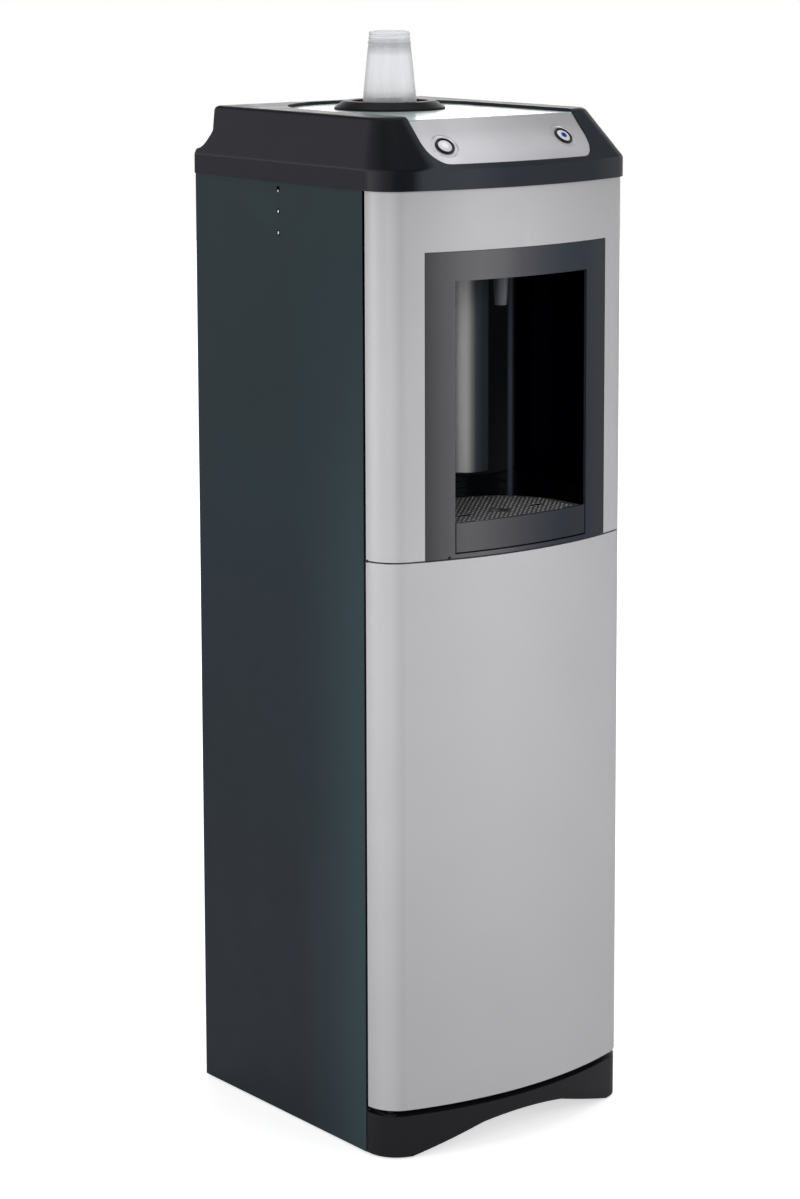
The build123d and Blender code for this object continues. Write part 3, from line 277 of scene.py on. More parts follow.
    def extrude(self, move: Point) -> "Workpiece":
        """Extrude what is selected along a vector."""
        bpy.ops.mesh.extrude_region_move(TRANSFORM_OT_translate={"value": tuple(move)})
        return self

    def rise(self, *heights: float) -> "Workpiece":
        """Extrude the whole flat outline up through a row of heights.

        Args:
            heights: the height that each extrusion reaches.

        Returns:
            The piece.
        """
        self.whole()
        level = next(iter(bmesh.from_edit_mesh(self.obj.data).verts)).co.z
        for height in heights:
            self.extrude((0, 0, height - level))
            level = height
        return self

    def bridge(self, test: Test) -> "Workpiece":
        """Bridge the two edge loops that pass a test on their places."""
        self.pick(Kind.EDGE, test)
        bpy.ops.mesh.bridge_edge_loops()
        return self

    def lid(self, *heights: float) -> "Workpiece":
        """Close the loop of edges at each height with one face."""
        for height in heights:
            self.pick(Kind.EDGE, lambda at, way, level=height: near(at.z, level))
            bpy.ops.mesh.edge_face_add()
        return self

    def prism(self, move: Point) -> "Workpiece":
        """Fill the closed flat line and extrude the face into a solid."""
        self.whole()
        bpy.ops.mesh.edge_face_add()
        return self.extrude(move).outward()

    def remove(self, test: Test) -> "Workpiece":
        """Delete the faces that pass a test."""
        self.pick(Kind.FACE, test)
        bpy.ops.mesh.delete(type="FACE")
        return self

    def slice(self, place: Point, normal: Point) -> "Workpiece":
        """Cut new edges all round where a plane meets the piece."""
        self.edit().whole()
        bpy.ops.mesh.bisect(plane_co=place, plane_no=normal)
        return self

    def weld(self, gap: float = WELD) -> "Workpiece":
        """Merge vertices that lie together."""
        self.edit().whole()
        bpy.ops.mesh.remove_doubles(threshold=gap)
        return self

    def outward(self) -> "Workpiece":
        """Point every face of a closed form outwards."""
        self.edit(Kind.FACE).whole()
        bpy.ops.mesh.normals_make_consistent(inside=False)
        return self

    def facing(self, inner: Point = (0, 0, 0), away: bool = True) -> "Workpiece":
        """Point an open sheet's faces away from a place inside it, or towards that place.

        Args:
            inner: a place on the inner side; its Z is ignored.
            away: whether the faces look away from it.

        Returns:
            The piece.
        """
        self.outward()
        mesh = bmesh.from_edit_mesh(self.obj.data)
        total = 0.0
        for face in mesh.faces:
            arm = face.calc_center_median() - Vector(inner)
            arm.z = 0.0
            total += face.calc_area() * face.normal.dot(arm)
        if (total < 0) == away:
            bpy.ops.mesh.flip_normals()
        return self

    def sink(self, test: Test, margin: float, depth: float) -> "Workpiece":
        """Inset the faces that pass a test and push them in."""
        self.pick(Kind.FACE, test)
        bpy.ops.mesh.inset(thickness=margin, depth=0, use_even_offset=True)
        bpy.ops.mesh.inset(thickness=abs(depth) * 0.6, depth=-depth, use_even_offset=True)
        return self

    def round_edges(self, test: Test, radius: float, segments: int = 4) -> "Workpiece":
        """Bevel the edges whose ends pass a test."""
        self.pick(Kind.EDGE, test)
        bpy.ops.mesh.bevel(offset=radius, segments=segments, affect="EDGES", clamp_overlap=True)
        return self

    # -- object mode
    def modify(self, kind: str, **settings: Any) -> "Workpiece":
        """Add a modifier, set it and apply it.

        Args:
            kind: the modifier's type.
            settings: its settings.

        Returns:
            The piece.
        """
        self.done()
        modifier = self.obj.modifiers.new(kind.title(), kind)
        for key, value in settings.items():
            setattr(modifier, key, value)
        bpy.ops.object.modifier_apply(modifier=modifier.name)
        return self

    def thicken(self, wall: float) -> "Workpiece":
        """Give a sheet its wall, behind its faces."""
        return self.modify("SOLIDIFY", thickness=wall, offset=-1.0, use_even_offset=True,
                           use_quality_normals=True)

    def soften(self, width: float, segments: int = 3, angle: float = SHARP) -> "Workpiece":
        """Round every edge that is sharper than an angle in degrees."""
        return self.modify("BEVEL", width=width, segments=segments, limit_method="ANGLE",
                           angle_limit=math.radians(angle), use_clamp_overlap=True,
                           miter_outer="MITER_ARC")

    def _combine(self, tool: "Workpiece", operation: str) -> "Workpiece":
        """Apply a boolean with another piece, which is used up."""
        tool.done()
        self.modify("BOOLEAN", object=tool.obj, operation=operation, solver="EXACT")
        bpy.data.objects.remove(tool.obj)
        return self

    def cut(self, tool: "Workpiece") -> "Workpiece":
        """Take another piece's form out of this one."""
        return self._combine(tool, "DIFFERENCE")

    def keep(self, tool: "Workpiece") -> "Workpiece":
        """Keep only what lies inside another piece."""
        return self._combine(tool, "INTERSECT")

    def fuse(self, tool: "Workpiece") -> "Workpiece":
        """Fuse another piece to this one."""
        return self._combine(tool, "UNION")

    def place(self, matrix: Matrix) -> "Workpiece":
        """Move and turn the whole piece, and apply it to the mesh."""
        self.done()
        self.obj.matrix_world = matrix @ self.obj.matrix_world
        bpy.ops.object.transform_apply(location=True, rotation=True, scale=True)
        return self

    def join(self, *others: "Workpiece") -> "Workpiece":
        """Join other pieces to this one as they are."""
        self.done()
        for other in others:
            other.obj.select_set(True)
        bpy.ops.object.join()
        return self

    def copy(self, matrix: Matrix) -> "Workpiece":
        """Copy the piece, with its own mesh, to another place."""
        self.done()
        bpy.ops.object.duplicate(linked=False)
        return Workpiece(self.obj.name + "_copy").place(matrix)

    def repeat(self, places: Sequence[Matrix]) -> "Workpiece":
        """Move the piece to the first place and join a copy to it at every other."""
        self.place(places[0])
        home = places[0].inverted()
        return self.join(*[self.copy(place @ home) for place in places[1:]])

    def mirrored(self) -> "Workpiece":
        """Turn the piece into its mirror image across the middle plane."""
        self.place(Matrix.Scale(-1, 4, Vector((1, 0, 0))))
        return self.weld().outward()

    def as_tube(self, radius: float) -> "Workpiece":
        """Give a line of edges a round section with closed ends."""
        self.done()
        bpy.ops.object.convert(target="CURVE")
        curve = bpy.context.active_object.data
        curve.bevel_depth = radius
        curve.bevel_resolution = 3
        curve.use_fill_caps = True
        bpy.ops.object.convert(target="MESH")
        self.obj = bpy.context.active_object
        return self.weld().outward()

    def finish(self, coat: "Finish", body: str, *nodes: str, slot: str = "") -> None:
        """Bring the piece to metres, smooth it, dress it and hand it to its body.

        Args:
            coat: the finish that it gets.
            body: the body that it rides on.
            nodes: the frame's nodes that it stands for.
            slot: not used.
        """
        self.done()
        self.obj.scale = (MM, MM, MM)
        bpy.ops.object.transform_apply(location=True, rotation=True, scale=True)
        bpy.ops.object.shade_smooth_by_angle(angle=math.radians(SHARP))
        self.modify("WEIGHTED_NORMAL", keep_sharp=True, weight=80)
        self.obj.data.materials.clear()
        self.obj.data.materials.append(coat.material())
        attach(self.obj, body)
        if nodes:
            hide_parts(*nodes)
        LOG.info("%s: %d faces", self.obj.name, len(self.obj.data.polygons))


def shift(x: float = 0.0, y: float = 0.0, z: float = 0.0) -> Matrix:
    """A move as a matrix."""
    return Matrix.Translation((x, y, z))


def quarter(axis: str, way: int = 1) -> Matrix:
    """A quarter turn about an axis, the other way round where the way is -1."""
    return Matrix.Rotation(way * math.pi / 2, 4, axis)


def near(value: float, target: float) -> bool:
    """Whether a value lies close to its target."""
    return abs(value - target) < CLOSE


# ------------------------------------------------------------------ shader maths
class Wire:
    """A value that runs through a material's nodes, for use in Python expressions."""

    def __init__(self, sheet: "NodeSheet", socket: bpy.types.NodeSocket) -> None:
        """Hold the node sheet and the output socket."""
        self.sheet = sheet
        self.socket = socket

    def _math(self, operation: str, first: Any, second: Any = 0.0) -> "Wire":
        """Add a Math node and return its value."""
        node = self.sheet.node("ShaderNodeMath", {"operation": operation}, {0: first, 1: second})
        return Wire(self.sheet, node.outputs[0])

    def __add__(self, other: Any) -> "Wire":
        """Sum."""
        return self._math("ADD", self, other)

    def __radd__(self, other: Any) -> "Wire":
        """Sum with a number first."""
        return self._math("ADD", other, self)

    def __sub__(self, other: Any) -> "Wire":
        """Difference."""
        return self._math("SUBTRACT", self, other)

    def __rsub__(self, other: Any) -> "Wire":
        """Difference with a number first."""
        return self._math("SUBTRACT", other, self)

    def __mul__(self, other: Any) -> "Wire":
        """Product."""
        return self._math("MULTIPLY", self, other)

    def __rmul__(self, other: Any) -> "Wire":
        """Product with a number first."""
        return self._math("MULTIPLY", other, self)

    def __pow__(self, other: Any) -> "Wire":
        """Power."""
        return self._math("POWER", self, other)

    def span(self, low: float, high: float, out_low: float = 0.0, out_high: float = 1.0) -> "Wire":
        """Map a range of the value to another, clamped."""
        node = self.sheet.node("ShaderNodeMapRange", {"clamp": True},
                               {0: self, 1: low, 2: high, 3: out_low, 4: out_high})
        return Wire(self.sheet, node.outputs[0])


class NodeSheet:
    """The nodes of one material."""

    def __init__(self, name: str) -> None:
        """Start an empty material.

        Args:
            name: the material's name.
        """
        self.material = bpy.data.materials.new(name)
        self.material.use_nodes = True
        self.tree = self.material.node_tree
        self.tree.nodes.clear()

    def node(self, kind: str, settings: Mapping[str, Any] | None = None,
             sockets: Mapping[Any, Any] | None = None) -> bpy.types.Node:
        """Add one node.

        Args:
            kind: the node's type.
            settings: its properties; the key "stops" gives a ramp's positions and colours.
            sockets: a value or a wire for each input, by name or number.

        Returns:
            The node.
        """
        node = self.tree.nodes.new(kind)
        for key, value in (settings or {}).items():
            if key == "stops":
                elements = node.color_ramp.elements
                while len(elements) < len(value):
                    elements.new(0.5)
                for element, (position, colour) in zip(elements, value):
                    element.position = position
                    element.color = colour
            else:
                setattr(node, key, value)
        for key, value in (sockets or {}).items():
            if isinstance(value, Wire):
                self.tree.links.new(value.socket, node.inputs[key])
            else:
                node.inputs[key].default_value = value
        return node

    def wire(self, node: bpy.types.Node, output: Any = 0) -> Wire:
        """Take one output of a node as a wire."""
        return Wire(self, node.outputs[output])

    def place(self, scale: Point = (1.0, 1.0, 1.0)) -> Wire:
        """Object coordinates in metres, stretched by a factor along each axis."""
        at = self.wire(self.node("ShaderNodeTexCoord"), "Object")
        return self.wire(self.node("ShaderNodeMapping", {}, {"Vector": at, "Scale": scale}))

    def noise(self, scale: float, detail: float, at: Wire | None = None) -> Wire:
        """Smooth noise from 0 to 1.

        Args:
            scale: cells to the metre.
            detail: number of octaves.
            at: coordinates; the object's own when left out.

        Returns:
            The noise.
        """
        node = self.node("ShaderNodeTexNoise", {}, {
            "Vector": at or self.place(), "Scale": scale, "Detail": detail})
        return self.wire(node, 0)

    def cells(self, scale: float) -> Wire:
        """Grey value of the nearest cell of a random mosaic."""
        node = self.node("ShaderNodeTexVoronoi", {}, {"Vector": self.place(), "Scale": scale})
        split = self.node("ShaderNodeSeparateColor", {}, {0: self.wire(node, "Color")})
        return self.wire(split, 0)

    def along(self, way: "Along") -> Wire:
        """One object coordinate in metres, or one share of the normal."""
        source, letter = way.value
        kind = "ShaderNodeTexCoord" if source == "Object" else "ShaderNodeNewGeometry"
        at = self.wire(self.node(kind), source)
        return self.wire(self.node("ShaderNodeSeparateXYZ", {}, {0: at}), letter)

    def blend(self, factor: Any, first: Any, second: Any, mode: str = "MIX") -> Wire:
        """Mix two colours.

        Args:
            factor: 0 gives the first colour, 1 the second.
            first: a colour or a wire.
            second: a colour or a wire.
            mode: how the second colour is laid over the first.

        Returns:
            The mixed colour.
        """
        node = self.node("ShaderNodeMix", {"data_type": "RGBA", "blend_type": mode},
                         {0: factor, 6: first, 7: second})
        return self.wire(node, 2)

    def bump(self, height: Wire, distance: float) -> Wire:
        """Turn a height from 0 to 1 into a normal; 1 stands for a distance in metres."""
        return self.wire(self.node("ShaderNodeBump", {}, {"Height": height, "Distance": distance}))

    def output(self, shader: bpy.types.Node) -> bpy.types.Material:
        """Link a shader to the material's output."""
        target = self.node("ShaderNodeOutputMaterial")
        self.tree.links.new(shader.outputs[0], target.inputs["Surface"])
        return self.material


def paint(red: int, green: int, blue: int) -> Colour:
    """A screen colour from 0 to 255 as the linear colour that a shader takes."""
    def linear(value: int) -> float:
        """One channel."""
        share = value / 255
        return share / 12.92 if share <= 0.04045 else ((share + 0.055) / 1.055) ** 2.4

    return linear(red), linear(green), linear(blue), 1.0


def tint(colour: Colour, factor: float) -> Colour:
    """A lighter or darker colour."""
    return tuple(min(channel * factor, 1.0) for channel in colour[:3]) + (1.0,)


# ------------------------------------------------------------------ finishes
class Along(Enum):
    """What a sweep of tone follows: a place in metres or a share of the normal."""

    X = ("Object", "X")
    Y = ("Object", "Y")
    Z = ("Object", "Z")
    NORMAL_X = ("Normal", "X")
    NORMAL_Y = ("Normal", "Y")
    NORMAL_Z = ("Normal", "Z")


@dataclass(frozen=True)
class Sweep:
    """Slow change of tone over a surface, as soft lamps leave it."""

    along: Along
    stops: tuple[tuple[float, Colour], ...]

    def over(self, sheet: "NodeSheet", colour: Wire) -> Wire:
        """Multiply a colour by the sweep.

        Args:
            sheet: the node sheet.
            colour: the colour that is swept.

        Returns:
            The product.
        """
        low, high = self.stops[0][0], self.stops[-1][0]
        share = sheet.along(self.along).span(low, high)
        places = [((at - low) / (high - low), tone) for at, tone in self.stops]
        ramp = sheet.node("ShaderNodeValToRGB", {"stops": places}, {0: share})
        return sheet.blend(1.0, colour, sheet.wire(ramp), "MULTIPLY")


def levels(*stops: tuple[float, float]) -> tuple[tuple[float, Colour], ...]:
    """Stops of a sweep given as places and plain factors up to 1."""
    return tuple((at, (factor, factor, factor, 1.0)) for at, factor in stops)


def tones(*stops: tuple[float, int, int, int]) -> tuple[tuple[float, Colour], ...]:
    """Stops of a sweep given as places and screen colours."""
    return tuple((at, paint(*shade)) for at, *shade in stops)


@dataclass(frozen=True)
class Finish:
    """A moulded or painted surface: faint mottling, uneven gloss and a fine grain."""

    name: str
    colour: Colour
    roughness: float = 0.45
    metallic: float = 0.0
    specular: float = 0.5
    mottle: float = 0.06          # how far the colour wanders
    patch: float = 9.0            # patches to the metre
    gloss_wander: float = 0.06    # how far the roughness wanders
    grain: float = 2200.0         # grains to the metre
    grain_depth: float = 0.00003  # metres
    wear: float = 0.10            # lighter rub along the edges
    # painted light and shade, multiplied over the colour
    sweeps: tuple[Sweep, ...] = ()

    made: ClassVar[dict[str, bpy.types.Material]] = {}

    def material(self) -> bpy.types.Material:
        """The finish's material, made on first use."""
        if self.name not in Finish.made:
            Finish.made[self.name] = self.build(NodeSheet(self.name))
        return Finish.made[self.name]

    def tone(self, sheet: NodeSheet) -> Wire:
        """Base colour with its mottling, worn edges and the painted light and shade of its sweeps."""
        wander = sheet.noise(self.patch, 4.0)
        colour = sheet.blend(wander.span(0.3, 0.7), tint(self.colour, 1 - self.mottle),
                             tint(self.colour, 1 + self.mottle))
        edge = sheet.wire(sheet.node("ShaderNodeNewGeometry"), "Pointiness")
        rub = edge.span(0.52, 0.62) * self.wear
        colour = sheet.blend(rub, colour, tint(self.colour, 2.2))
        for sweep in self.sweeps:
            colour = sweep.over(sheet, colour)
        return colour

    def gloss(self, sheet: NodeSheet) -> Wire:
        """Roughness with smudges."""
        smudge = sheet.noise(self.patch * 4, 5.0)
        return smudge.span(0.25, 0.75, self.roughness - self.gloss_wander,
                           self.roughness + self.gloss_wander)

    def relief(self, sheet: NodeSheet) -> Wire:
        """Normal from the fine grain."""
        return sheet.bump(sheet.noise(self.grain, 2.0), self.grain_depth)

    def build(self, sheet: NodeSheet) -> bpy.types.Material:
        """Put the nodes together.

        Args:
            sheet: the empty node sheet.

        Returns:
            The material.
        """
        shader = sheet.node("ShaderNodeBsdfPrincipled", {}, {
            "Base Color": self.tone(sheet), "Roughness": self.gloss(sheet),
            "Normal": self.relief(sheet), "Metallic": self.metallic,
            "Specular IOR Level": self.specular})
        return sheet.output(shader)


@dataclass(frozen=True)
class FlakePaint(Finish):
    """Metallic paint: fine flakes under a satin film with faint orange peel."""

    flakes: float = 3200.0
    flake_spread: float = 0.05

    def tone(self, sheet: NodeSheet) -> Wire:
        """Base colour with flakes."""
        base = Finish.tone(self, sheet)
        flake = sheet.cells(self.flakes)
        return sheet.blend(flake * self.flake_spread, base, tint(self.colour, 1.6))

    def relief(self, sheet: NodeSheet) -> Wire:
        """Orange peel with the flakes' sparkle in it."""
        peel = sheet.noise(420.0, 2.0)
        return sheet.bump(peel + sheet.cells(self.flakes) * 0.12, self.grain_depth)


@dataclass(frozen=True)
class DrawnMetal(Finish):
    """Metal with fine lines drawn along one axis."""

    lines: Point = (1.0, 1.0, 0.01)
    line_count: float = 2600.0

    def gloss(self, sheet: NodeSheet) -> Wire:
        """Roughness that follows the drawn lines."""
        line = sheet.noise(self.line_count, 2.0, sheet.place(self.lines))
        return line.span(0.3, 0.7, self.roughness - self.gloss_wander,
                         self.roughness + self.gloss_wander)

    def relief(self, sheet: NodeSheet) -> Wire:
        """Normal from the drawn lines."""
        return sheet.bump(sheet.noise(self.line_count, 2.0, sheet.place(self.lines)),
                          self.grain_depth)


@dataclass(frozen=True)
class SheetPaint(Finish):
    """Textured paint on sheet steel, with painted light low down beside its front edge."""

    # how far the painted light lifts the colour
    lift: float = 2.0

    def tone(self, sheet: NodeSheet) -> Wire:
        """Base colour with the light that the front edge picks up."""
        front = sheet.along(Along.Y).span(0.01, -0.1) ** 1.5
        low = sheet.along(Along.Z).span(0.9, 0.55)
        colour = Finish.tone(self, sheet)
        return sheet.blend(front * low * 0.9, colour, tint(self.colour, self.lift))


@dataclass(frozen=True)
class CapPaint(Finish):
    """Satin moulding with painted shade on the front corner left of the panel."""

    corner_shade: Colour = (0.0, 0.0, 0.0, 1.0)
    corner_x: float = -0.124
    band_top: float = 0.986

    def tone(self, sheet: NodeSheet) -> Wire:
        """Base colour with the painted shade on the front corner."""
        ahead = sheet.along(Along.NORMAL_X).span(-0.62, -0.5)
        slope = sheet.along(Along.Z).span(self.band_top - 0.002, self.band_top + 0.002, 0.0, 0.016)
        left = (sheet.along(Along.X) - slope).span(self.corner_x + 0.005, self.corner_x - 0.005)
        return sheet.blend(ahead * left, Finish.tone(self, sheet), self.corner_shade)


@dataclass(frozen=True)
class Perforated(Finish):
    """Moulded sheet with a painted highlight on its hole walls."""

    wall_highlight: Colour = (0.7, 0.7, 0.7, 1.0)

    def tone(self, sheet: NodeSheet) -> Wire:
        """Base colour, with the painted highlight on the upright walls."""
        up = sheet.along(Along.NORMAL_Z)
        return sheet.blend(up.span(0.9, 0.3), Finish.tone(self, sheet), self.wall_highlight)


@dataclass(frozen=True)
class ZincCoat(Finish):
    """Galvanised sheet with its crystal pattern."""

    crystals: float = 130.0

    def tone(self, sheet: NodeSheet) -> Wire:
        """Crystals of slightly different greys."""
        crystal = sheet.cells(self.crystals)
        return sheet.blend(crystal, tint(self.colour, 0.86), tint(self.colour, 1.1))

    def gloss(self, sheet: NodeSheet) -> Wire:
        """Crystals of slightly different gloss."""
        return sheet.cells(self.crystals).span(0.0, 1.0, self.roughness - 0.1, self.roughness + 0.1)


@dataclass(frozen=True)
class ClearMoulding(Finish):
    """Thin translucent plastic, denser where it is seen edge on, with painted shade there and a painted
    glow.
    """

    alpha: float = 0.3
    edge_alpha: float = 0.85
    glow: float = 0.0             # painted glow, standing in for light scattered inside the wall

    def build(self, sheet: NodeSheet) -> bpy.types.Material:
        """Put the nodes together.

        Args:
            sheet: the empty node sheet.

        Returns:
            The material.
        """
        facing = sheet.wire(sheet.node("ShaderNodeLayerWeight", {}, {"Blend": 0.35}), "Facing")
        streak = sheet.noise(60.0, 3.0, sheet.place((1.0, 1.0, 0.12)))
        alpha = (facing.span(0.0, 1.0, self.alpha, self.edge_alpha)
                 + streak.span(0.3, 0.7, -0.05, 0.05))
        # painted shade: the colour darkens to about a third where the wall is seen edge on
        shade = sheet.blend(facing.span(0.3, 0.9), self.tone(sheet), tint(self.colour, 0.35))
        shader = sheet.node("ShaderNodeBsdfPrincipled", {}, {
            "Base Color": shade, "Roughness": self.gloss(sheet),
            "Normal": self.relief(sheet), "Alpha": alpha, "Specular IOR Level": self.specular,
            "Emission Color": shade, "Emission Strength": self.glow})
        return sheet.output(shader)


@dataclass(frozen=True)
class TintedGlass(Finish):
    """Pale glass with a greener edge over a white print."""

    edge_colour: Colour = (0.1, 0.4, 0.3, 1.0)

    def tone(self, sheet: NodeSheet) -> Wire:
        """Near white from above and green on the ground edges."""
        up = sheet.along(Along.NORMAL_Z)
        return sheet.blend(up.span(0.3, 0.9), self.edge_colour, Finish.tone(self, sheet))


# Every sweep in the finishes below is painted light and shade.
WHITE = (1.0, 1.0, 1.0, 1.0)
SIDE_STEEL = SheetPaint(
    "side_steel", paint(27, 42, 46), roughness=0.45, specular=0.2, mottle=0.05, patch=5.0,
    grain=1500.0, grain_depth=0.00004, sweeps=(
        # painted shade: the front edge faces are made nearly black so the shadow gap beside the front
        # reads dark
        Sweep(Along.NORMAL_Y, levels((-1.0, 0.1), (-0.95, 0.1), (-0.8, 1.0), (1.0, 1.0))),
        # painted light, in tinted bands up the side
        Sweep(Along.Z, (
            (0.05, (0.8, 0.55, 0.7, 1)), (0.18, (0.82, 0.55, 0.75, 1)),
            (0.34, (0.66, 0.6, 0.72, 1)), (0.5, (0.9, 0.72, 0.95, 1)),
            (0.64, (0.88, 0.9, 1, 1)), (0.94, (0.78, 0.85, 0.9, 1))))))
SILVER = FlakePaint(
    "silver_front", paint(198, 198, 200), roughness=0.42, metallic=0.25, mottle=0.02, patch=4.0,
    grain_depth=0.00001, wear=0.05, sweeps=(
        # painted shade towards the top under the cap and low down, and a painted highlight on the left
        # corner
        Sweep(Along.Z, levels(
            (0.05, 0.89), (0.14, 0.905), (0.24, 0.945), (0.34, 0.995), (0.45, 1.0), (0.6, 1.0),
            (0.75, 0.95), (0.87, 0.87), (0.93, 0.81), (0.966, 0.74))),
        Sweep(Along.NORMAL_X, levels(
            (-1.0, 0.93), (-0.95, 0.97), (-0.87, 1.0), (-0.7, 0.95), (-0.47, 0.815), (-0.3, 0.85),
            (-0.1, 0.87), (0.2, 0.88), (1.0, 0.88)))))
BLACK_TRIM = Finish("black_trim", paint(21, 20, 25), roughness=0.5, specular=0.2)
CAP_BLACK = CapPaint(
    "cap_black", WHITE, roughness=0.42, mottle=0.05, specular=0.06, wear=0.0,
    corner_shade=paint(14, 17, 21), sweeps=(
        Sweep(Along.NORMAL_X, tones(
            (-1.0, 43, 43, 48), (-0.97, 58, 58, 61), (-0.88, 45, 45, 51), (-0.79, 36, 36, 40),
            (-0.6, 16, 18, 21), (-0.45, 13, 16, 20), (-0.35, 44, 48, 53), (-0.26, 54, 58, 63),
            (-0.16, 55, 59, 65), (-0.05, 40, 46, 53), (0.08, 42, 45, 51), (0.22, 40, 44, 49),
            (0.3, 54, 55, 60), (0.5, 58, 58, 63), (1.0, 46, 46, 50))),))
BEZEL = Finish(
    "bezel_grey", WHITE, roughness=0.4, specular=0.2, mottle=0.03, patch=30.0, wear=0.0, sweeps=(
        Sweep(Along.X, tones(
            (-0.115, 62, 62, 66), (-0.098, 80, 80, 84), (-0.076, 93, 93, 95), (-0.054, 99, 99, 101),
            (-0.03, 91, 90, 94), (-0.0055, 69, 69, 74), (0.0205, 54, 55, 65), (0.0475, 38, 46, 55),
            (0.0765, 32, 41, 50), (0.105, 40, 43, 51))),))
ALCOVE = Finish(
    "alcove_gloss", WHITE, roughness=0.05, gloss_wander=0.02, grain_depth=0.000001,
    specular=0.08, wear=0.0, sweeps=(
        # painted reflection: a pale upright streak at X 60 to 62 mm on the near-black gloss
        Sweep(Along.X, tones(
            (-0.09, 0, 5, 9), (0.0588, 0, 6, 12), (0.06, 60, 66, 74), (0.0618, 60, 66, 74),
            (0.063, 0, 0, 4), (0.09, 0, 0, 4))),))
COLUMN = DrawnMetal(
    "column_silver", WHITE, roughness=0.5, metallic=0.55, specular=0.2, grain_depth=0.000006,
    wear=0.0, sweeps=(
        # painted highlight on the side that faces left, painted shade on the side that faces right
        Sweep(Along.NORMAL_X, tones(
            (-1.0, 215, 215, 216), (-0.87, 250, 250, 251), (-0.8, 252, 252, 252),
            (-0.68, 200, 200, 200), (-0.54, 165, 165, 165), (-0.39, 110, 108, 110),
            (-0.215, 46, 48, 53), (-0.017, 30, 35, 40), (0.216, 36, 42, 47), (0.442, 50, 58, 64),
            (1.0, 50, 58, 64))),))
TRAY = Finish(
    "tray_dark", WHITE, roughness=0.4, specular=0.2, mottle=0.03, patch=30.0, wear=0.0, sweeps=(
        Sweep(Along.X, tones(
            (-0.083, 84, 84, 86), (-0.07, 89, 89, 92), (-0.054, 85, 84, 87), (-0.03, 73, 72, 77),
            (-0.0055, 60, 59, 67), (0.0205, 46, 49, 57), (0.0475, 31, 40, 48),
            (0.0765, 34, 38, 46))),))
GRILLE = Perforated(
    "grille_dark", paint(128, 128, 128), roughness=0.4, metallic=0.2, mottle=0.03,
    wall_highlight=paint(205, 205, 204), sweeps=(
        Sweep(Along.NORMAL_X, levels(
            (-1.0, 0.2), (-0.2, 0.25), (-0.04, 0.6), (0.04, 0.6), (0.2, 1.0), (1.0, 1.0))),))
NOZZLE = Finish("nozzle_white", paint(76, 78, 85), roughness=0.3, mottle=0.03, specular=0.3)
PANEL = FlakePaint(
    "panel_silver", paint(226, 225, 230), roughness=0.36, metallic=0.45, mottle=0.02,
    grain_depth=0.000008, wear=0.05, sweeps=(
        Sweep(Along.Z, levels((0.99, 0.84), (1.0, 0.88), (1.01, 0.83), (1.02, 0.7),
                              (1.031, 0.66))),))
RING = Finish("ring_dark", paint(22, 23, 27), roughness=0.3, metallic=0.2, specular=0.3)
BUTTON = Finish("button_face", paint(214, 215, 218), roughness=0.3, metallic=0.1, mottle=0.02)
MARK_PALE = Finish("mark_pale", paint(238, 240, 242), roughness=0.25, mottle=0.01)
MARK_BLUE = Finish("mark_blue", paint(4, 52, 142), roughness=0.3, mottle=0.04, specular=0.3)
GLASS = TintedGlass(
    "top_glass", paint(176, 192, 191), roughness=0.22, gloss_wander=0.04, grain_depth=0.000002,
    wear=0.0, specular=0.4, mottle=0.015, edge_colour=paint(120, 168, 155), sweeps=(
        Sweep(Along.X, levels((-0.104, 0.55), (-0.08, 0.72), (-0.04, 0.9), (0.0, 1.0))),))
COLLAR = Finish("collar_black", paint(10, 10, 13), roughness=0.45, specular=0.1)
CUP = ClearMoulding(
    "cup_clear", paint(236, 237, 240), roughness=0.3, mottle=0.01, grain_depth=0.000005,
    wear=0.0, alpha=0.38, edge_alpha=0.85, specular=0.4, glow=0.14, sweeps=(
        # painted shade: darkest low down by the collar, with a darker band below the top
        Sweep(Along.Z, levels(
            (1.032, 0.25), (1.04, 0.45), (1.05, 0.92), (1.06, 1.0), (1.085, 1.0), (1.089, 0.78),
            (1.094, 0.62), (1.099, 0.7), (1.103, 0.95), (1.111, 1.0))),))
INNER = Finish("inner_moulding", paint(176, 178, 180), roughness=0.5)
ZINC = ZincCoat("galvanised", paint(150, 154, 158), roughness=0.42, metallic=0.8)
SPRING = DrawnMetal("spring_steel", paint(170, 172, 176), roughness=0.3, metallic=0.95)
MAGNET = Finish("magnet_black", paint(30, 30, 32), roughness=0.6)
COMPRESSOR = Finish("compressor_black", paint(24, 24, 26), roughness=0.35, grain=700.0,
                    grain_depth=0.0001)
CONDENSER = Finish("condenser_black", paint(26, 27, 29), roughness=0.4, grain=900.0,
                   grain_depth=0.00006)
STAINLESS = DrawnMetal("stainless", paint(186, 188, 190), roughness=0.25, metallic=1.0)
COPPER = Finish("copper", paint(190, 112, 76), roughness=0.3, metallic=1.0, mottle=0.18, patch=40.0)
FOAM = Finish("foam", paint(224, 218, 198), roughness=0.9, grain=500.0, grain_depth=0.0006,
              mottle=0.08)
RUBBER = Finish("rubber_black", paint(28, 28, 29), roughness=0.75, grain=900.0,
                grain_depth=0.00008)
SILICONE = Finish("silicone", paint(214, 218, 220), roughness=0.35, mottle=0.03)
# painted shade: near black with almost no gloss, for the depth of the accessory holes and finger slots
HOLE_SHADE = Finish("plug_dark", paint(1, 1, 2), roughness=0.6, specular=0.02, wear=0.0)
# painted shade: the hinges are near black, not galvanised, so the gaps beside the door stay dark
SHADED_HINGE = Finish("hinge_black", paint(16, 16, 18), roughness=0.5, specular=0.3)
PART_DARK = Finish("part_dark", paint(44, 45, 48), roughness=0.5)
BOARD = Finish("board_green", paint(30, 84, 56), roughness=0.4, mottle=0.15, patch=120.0)

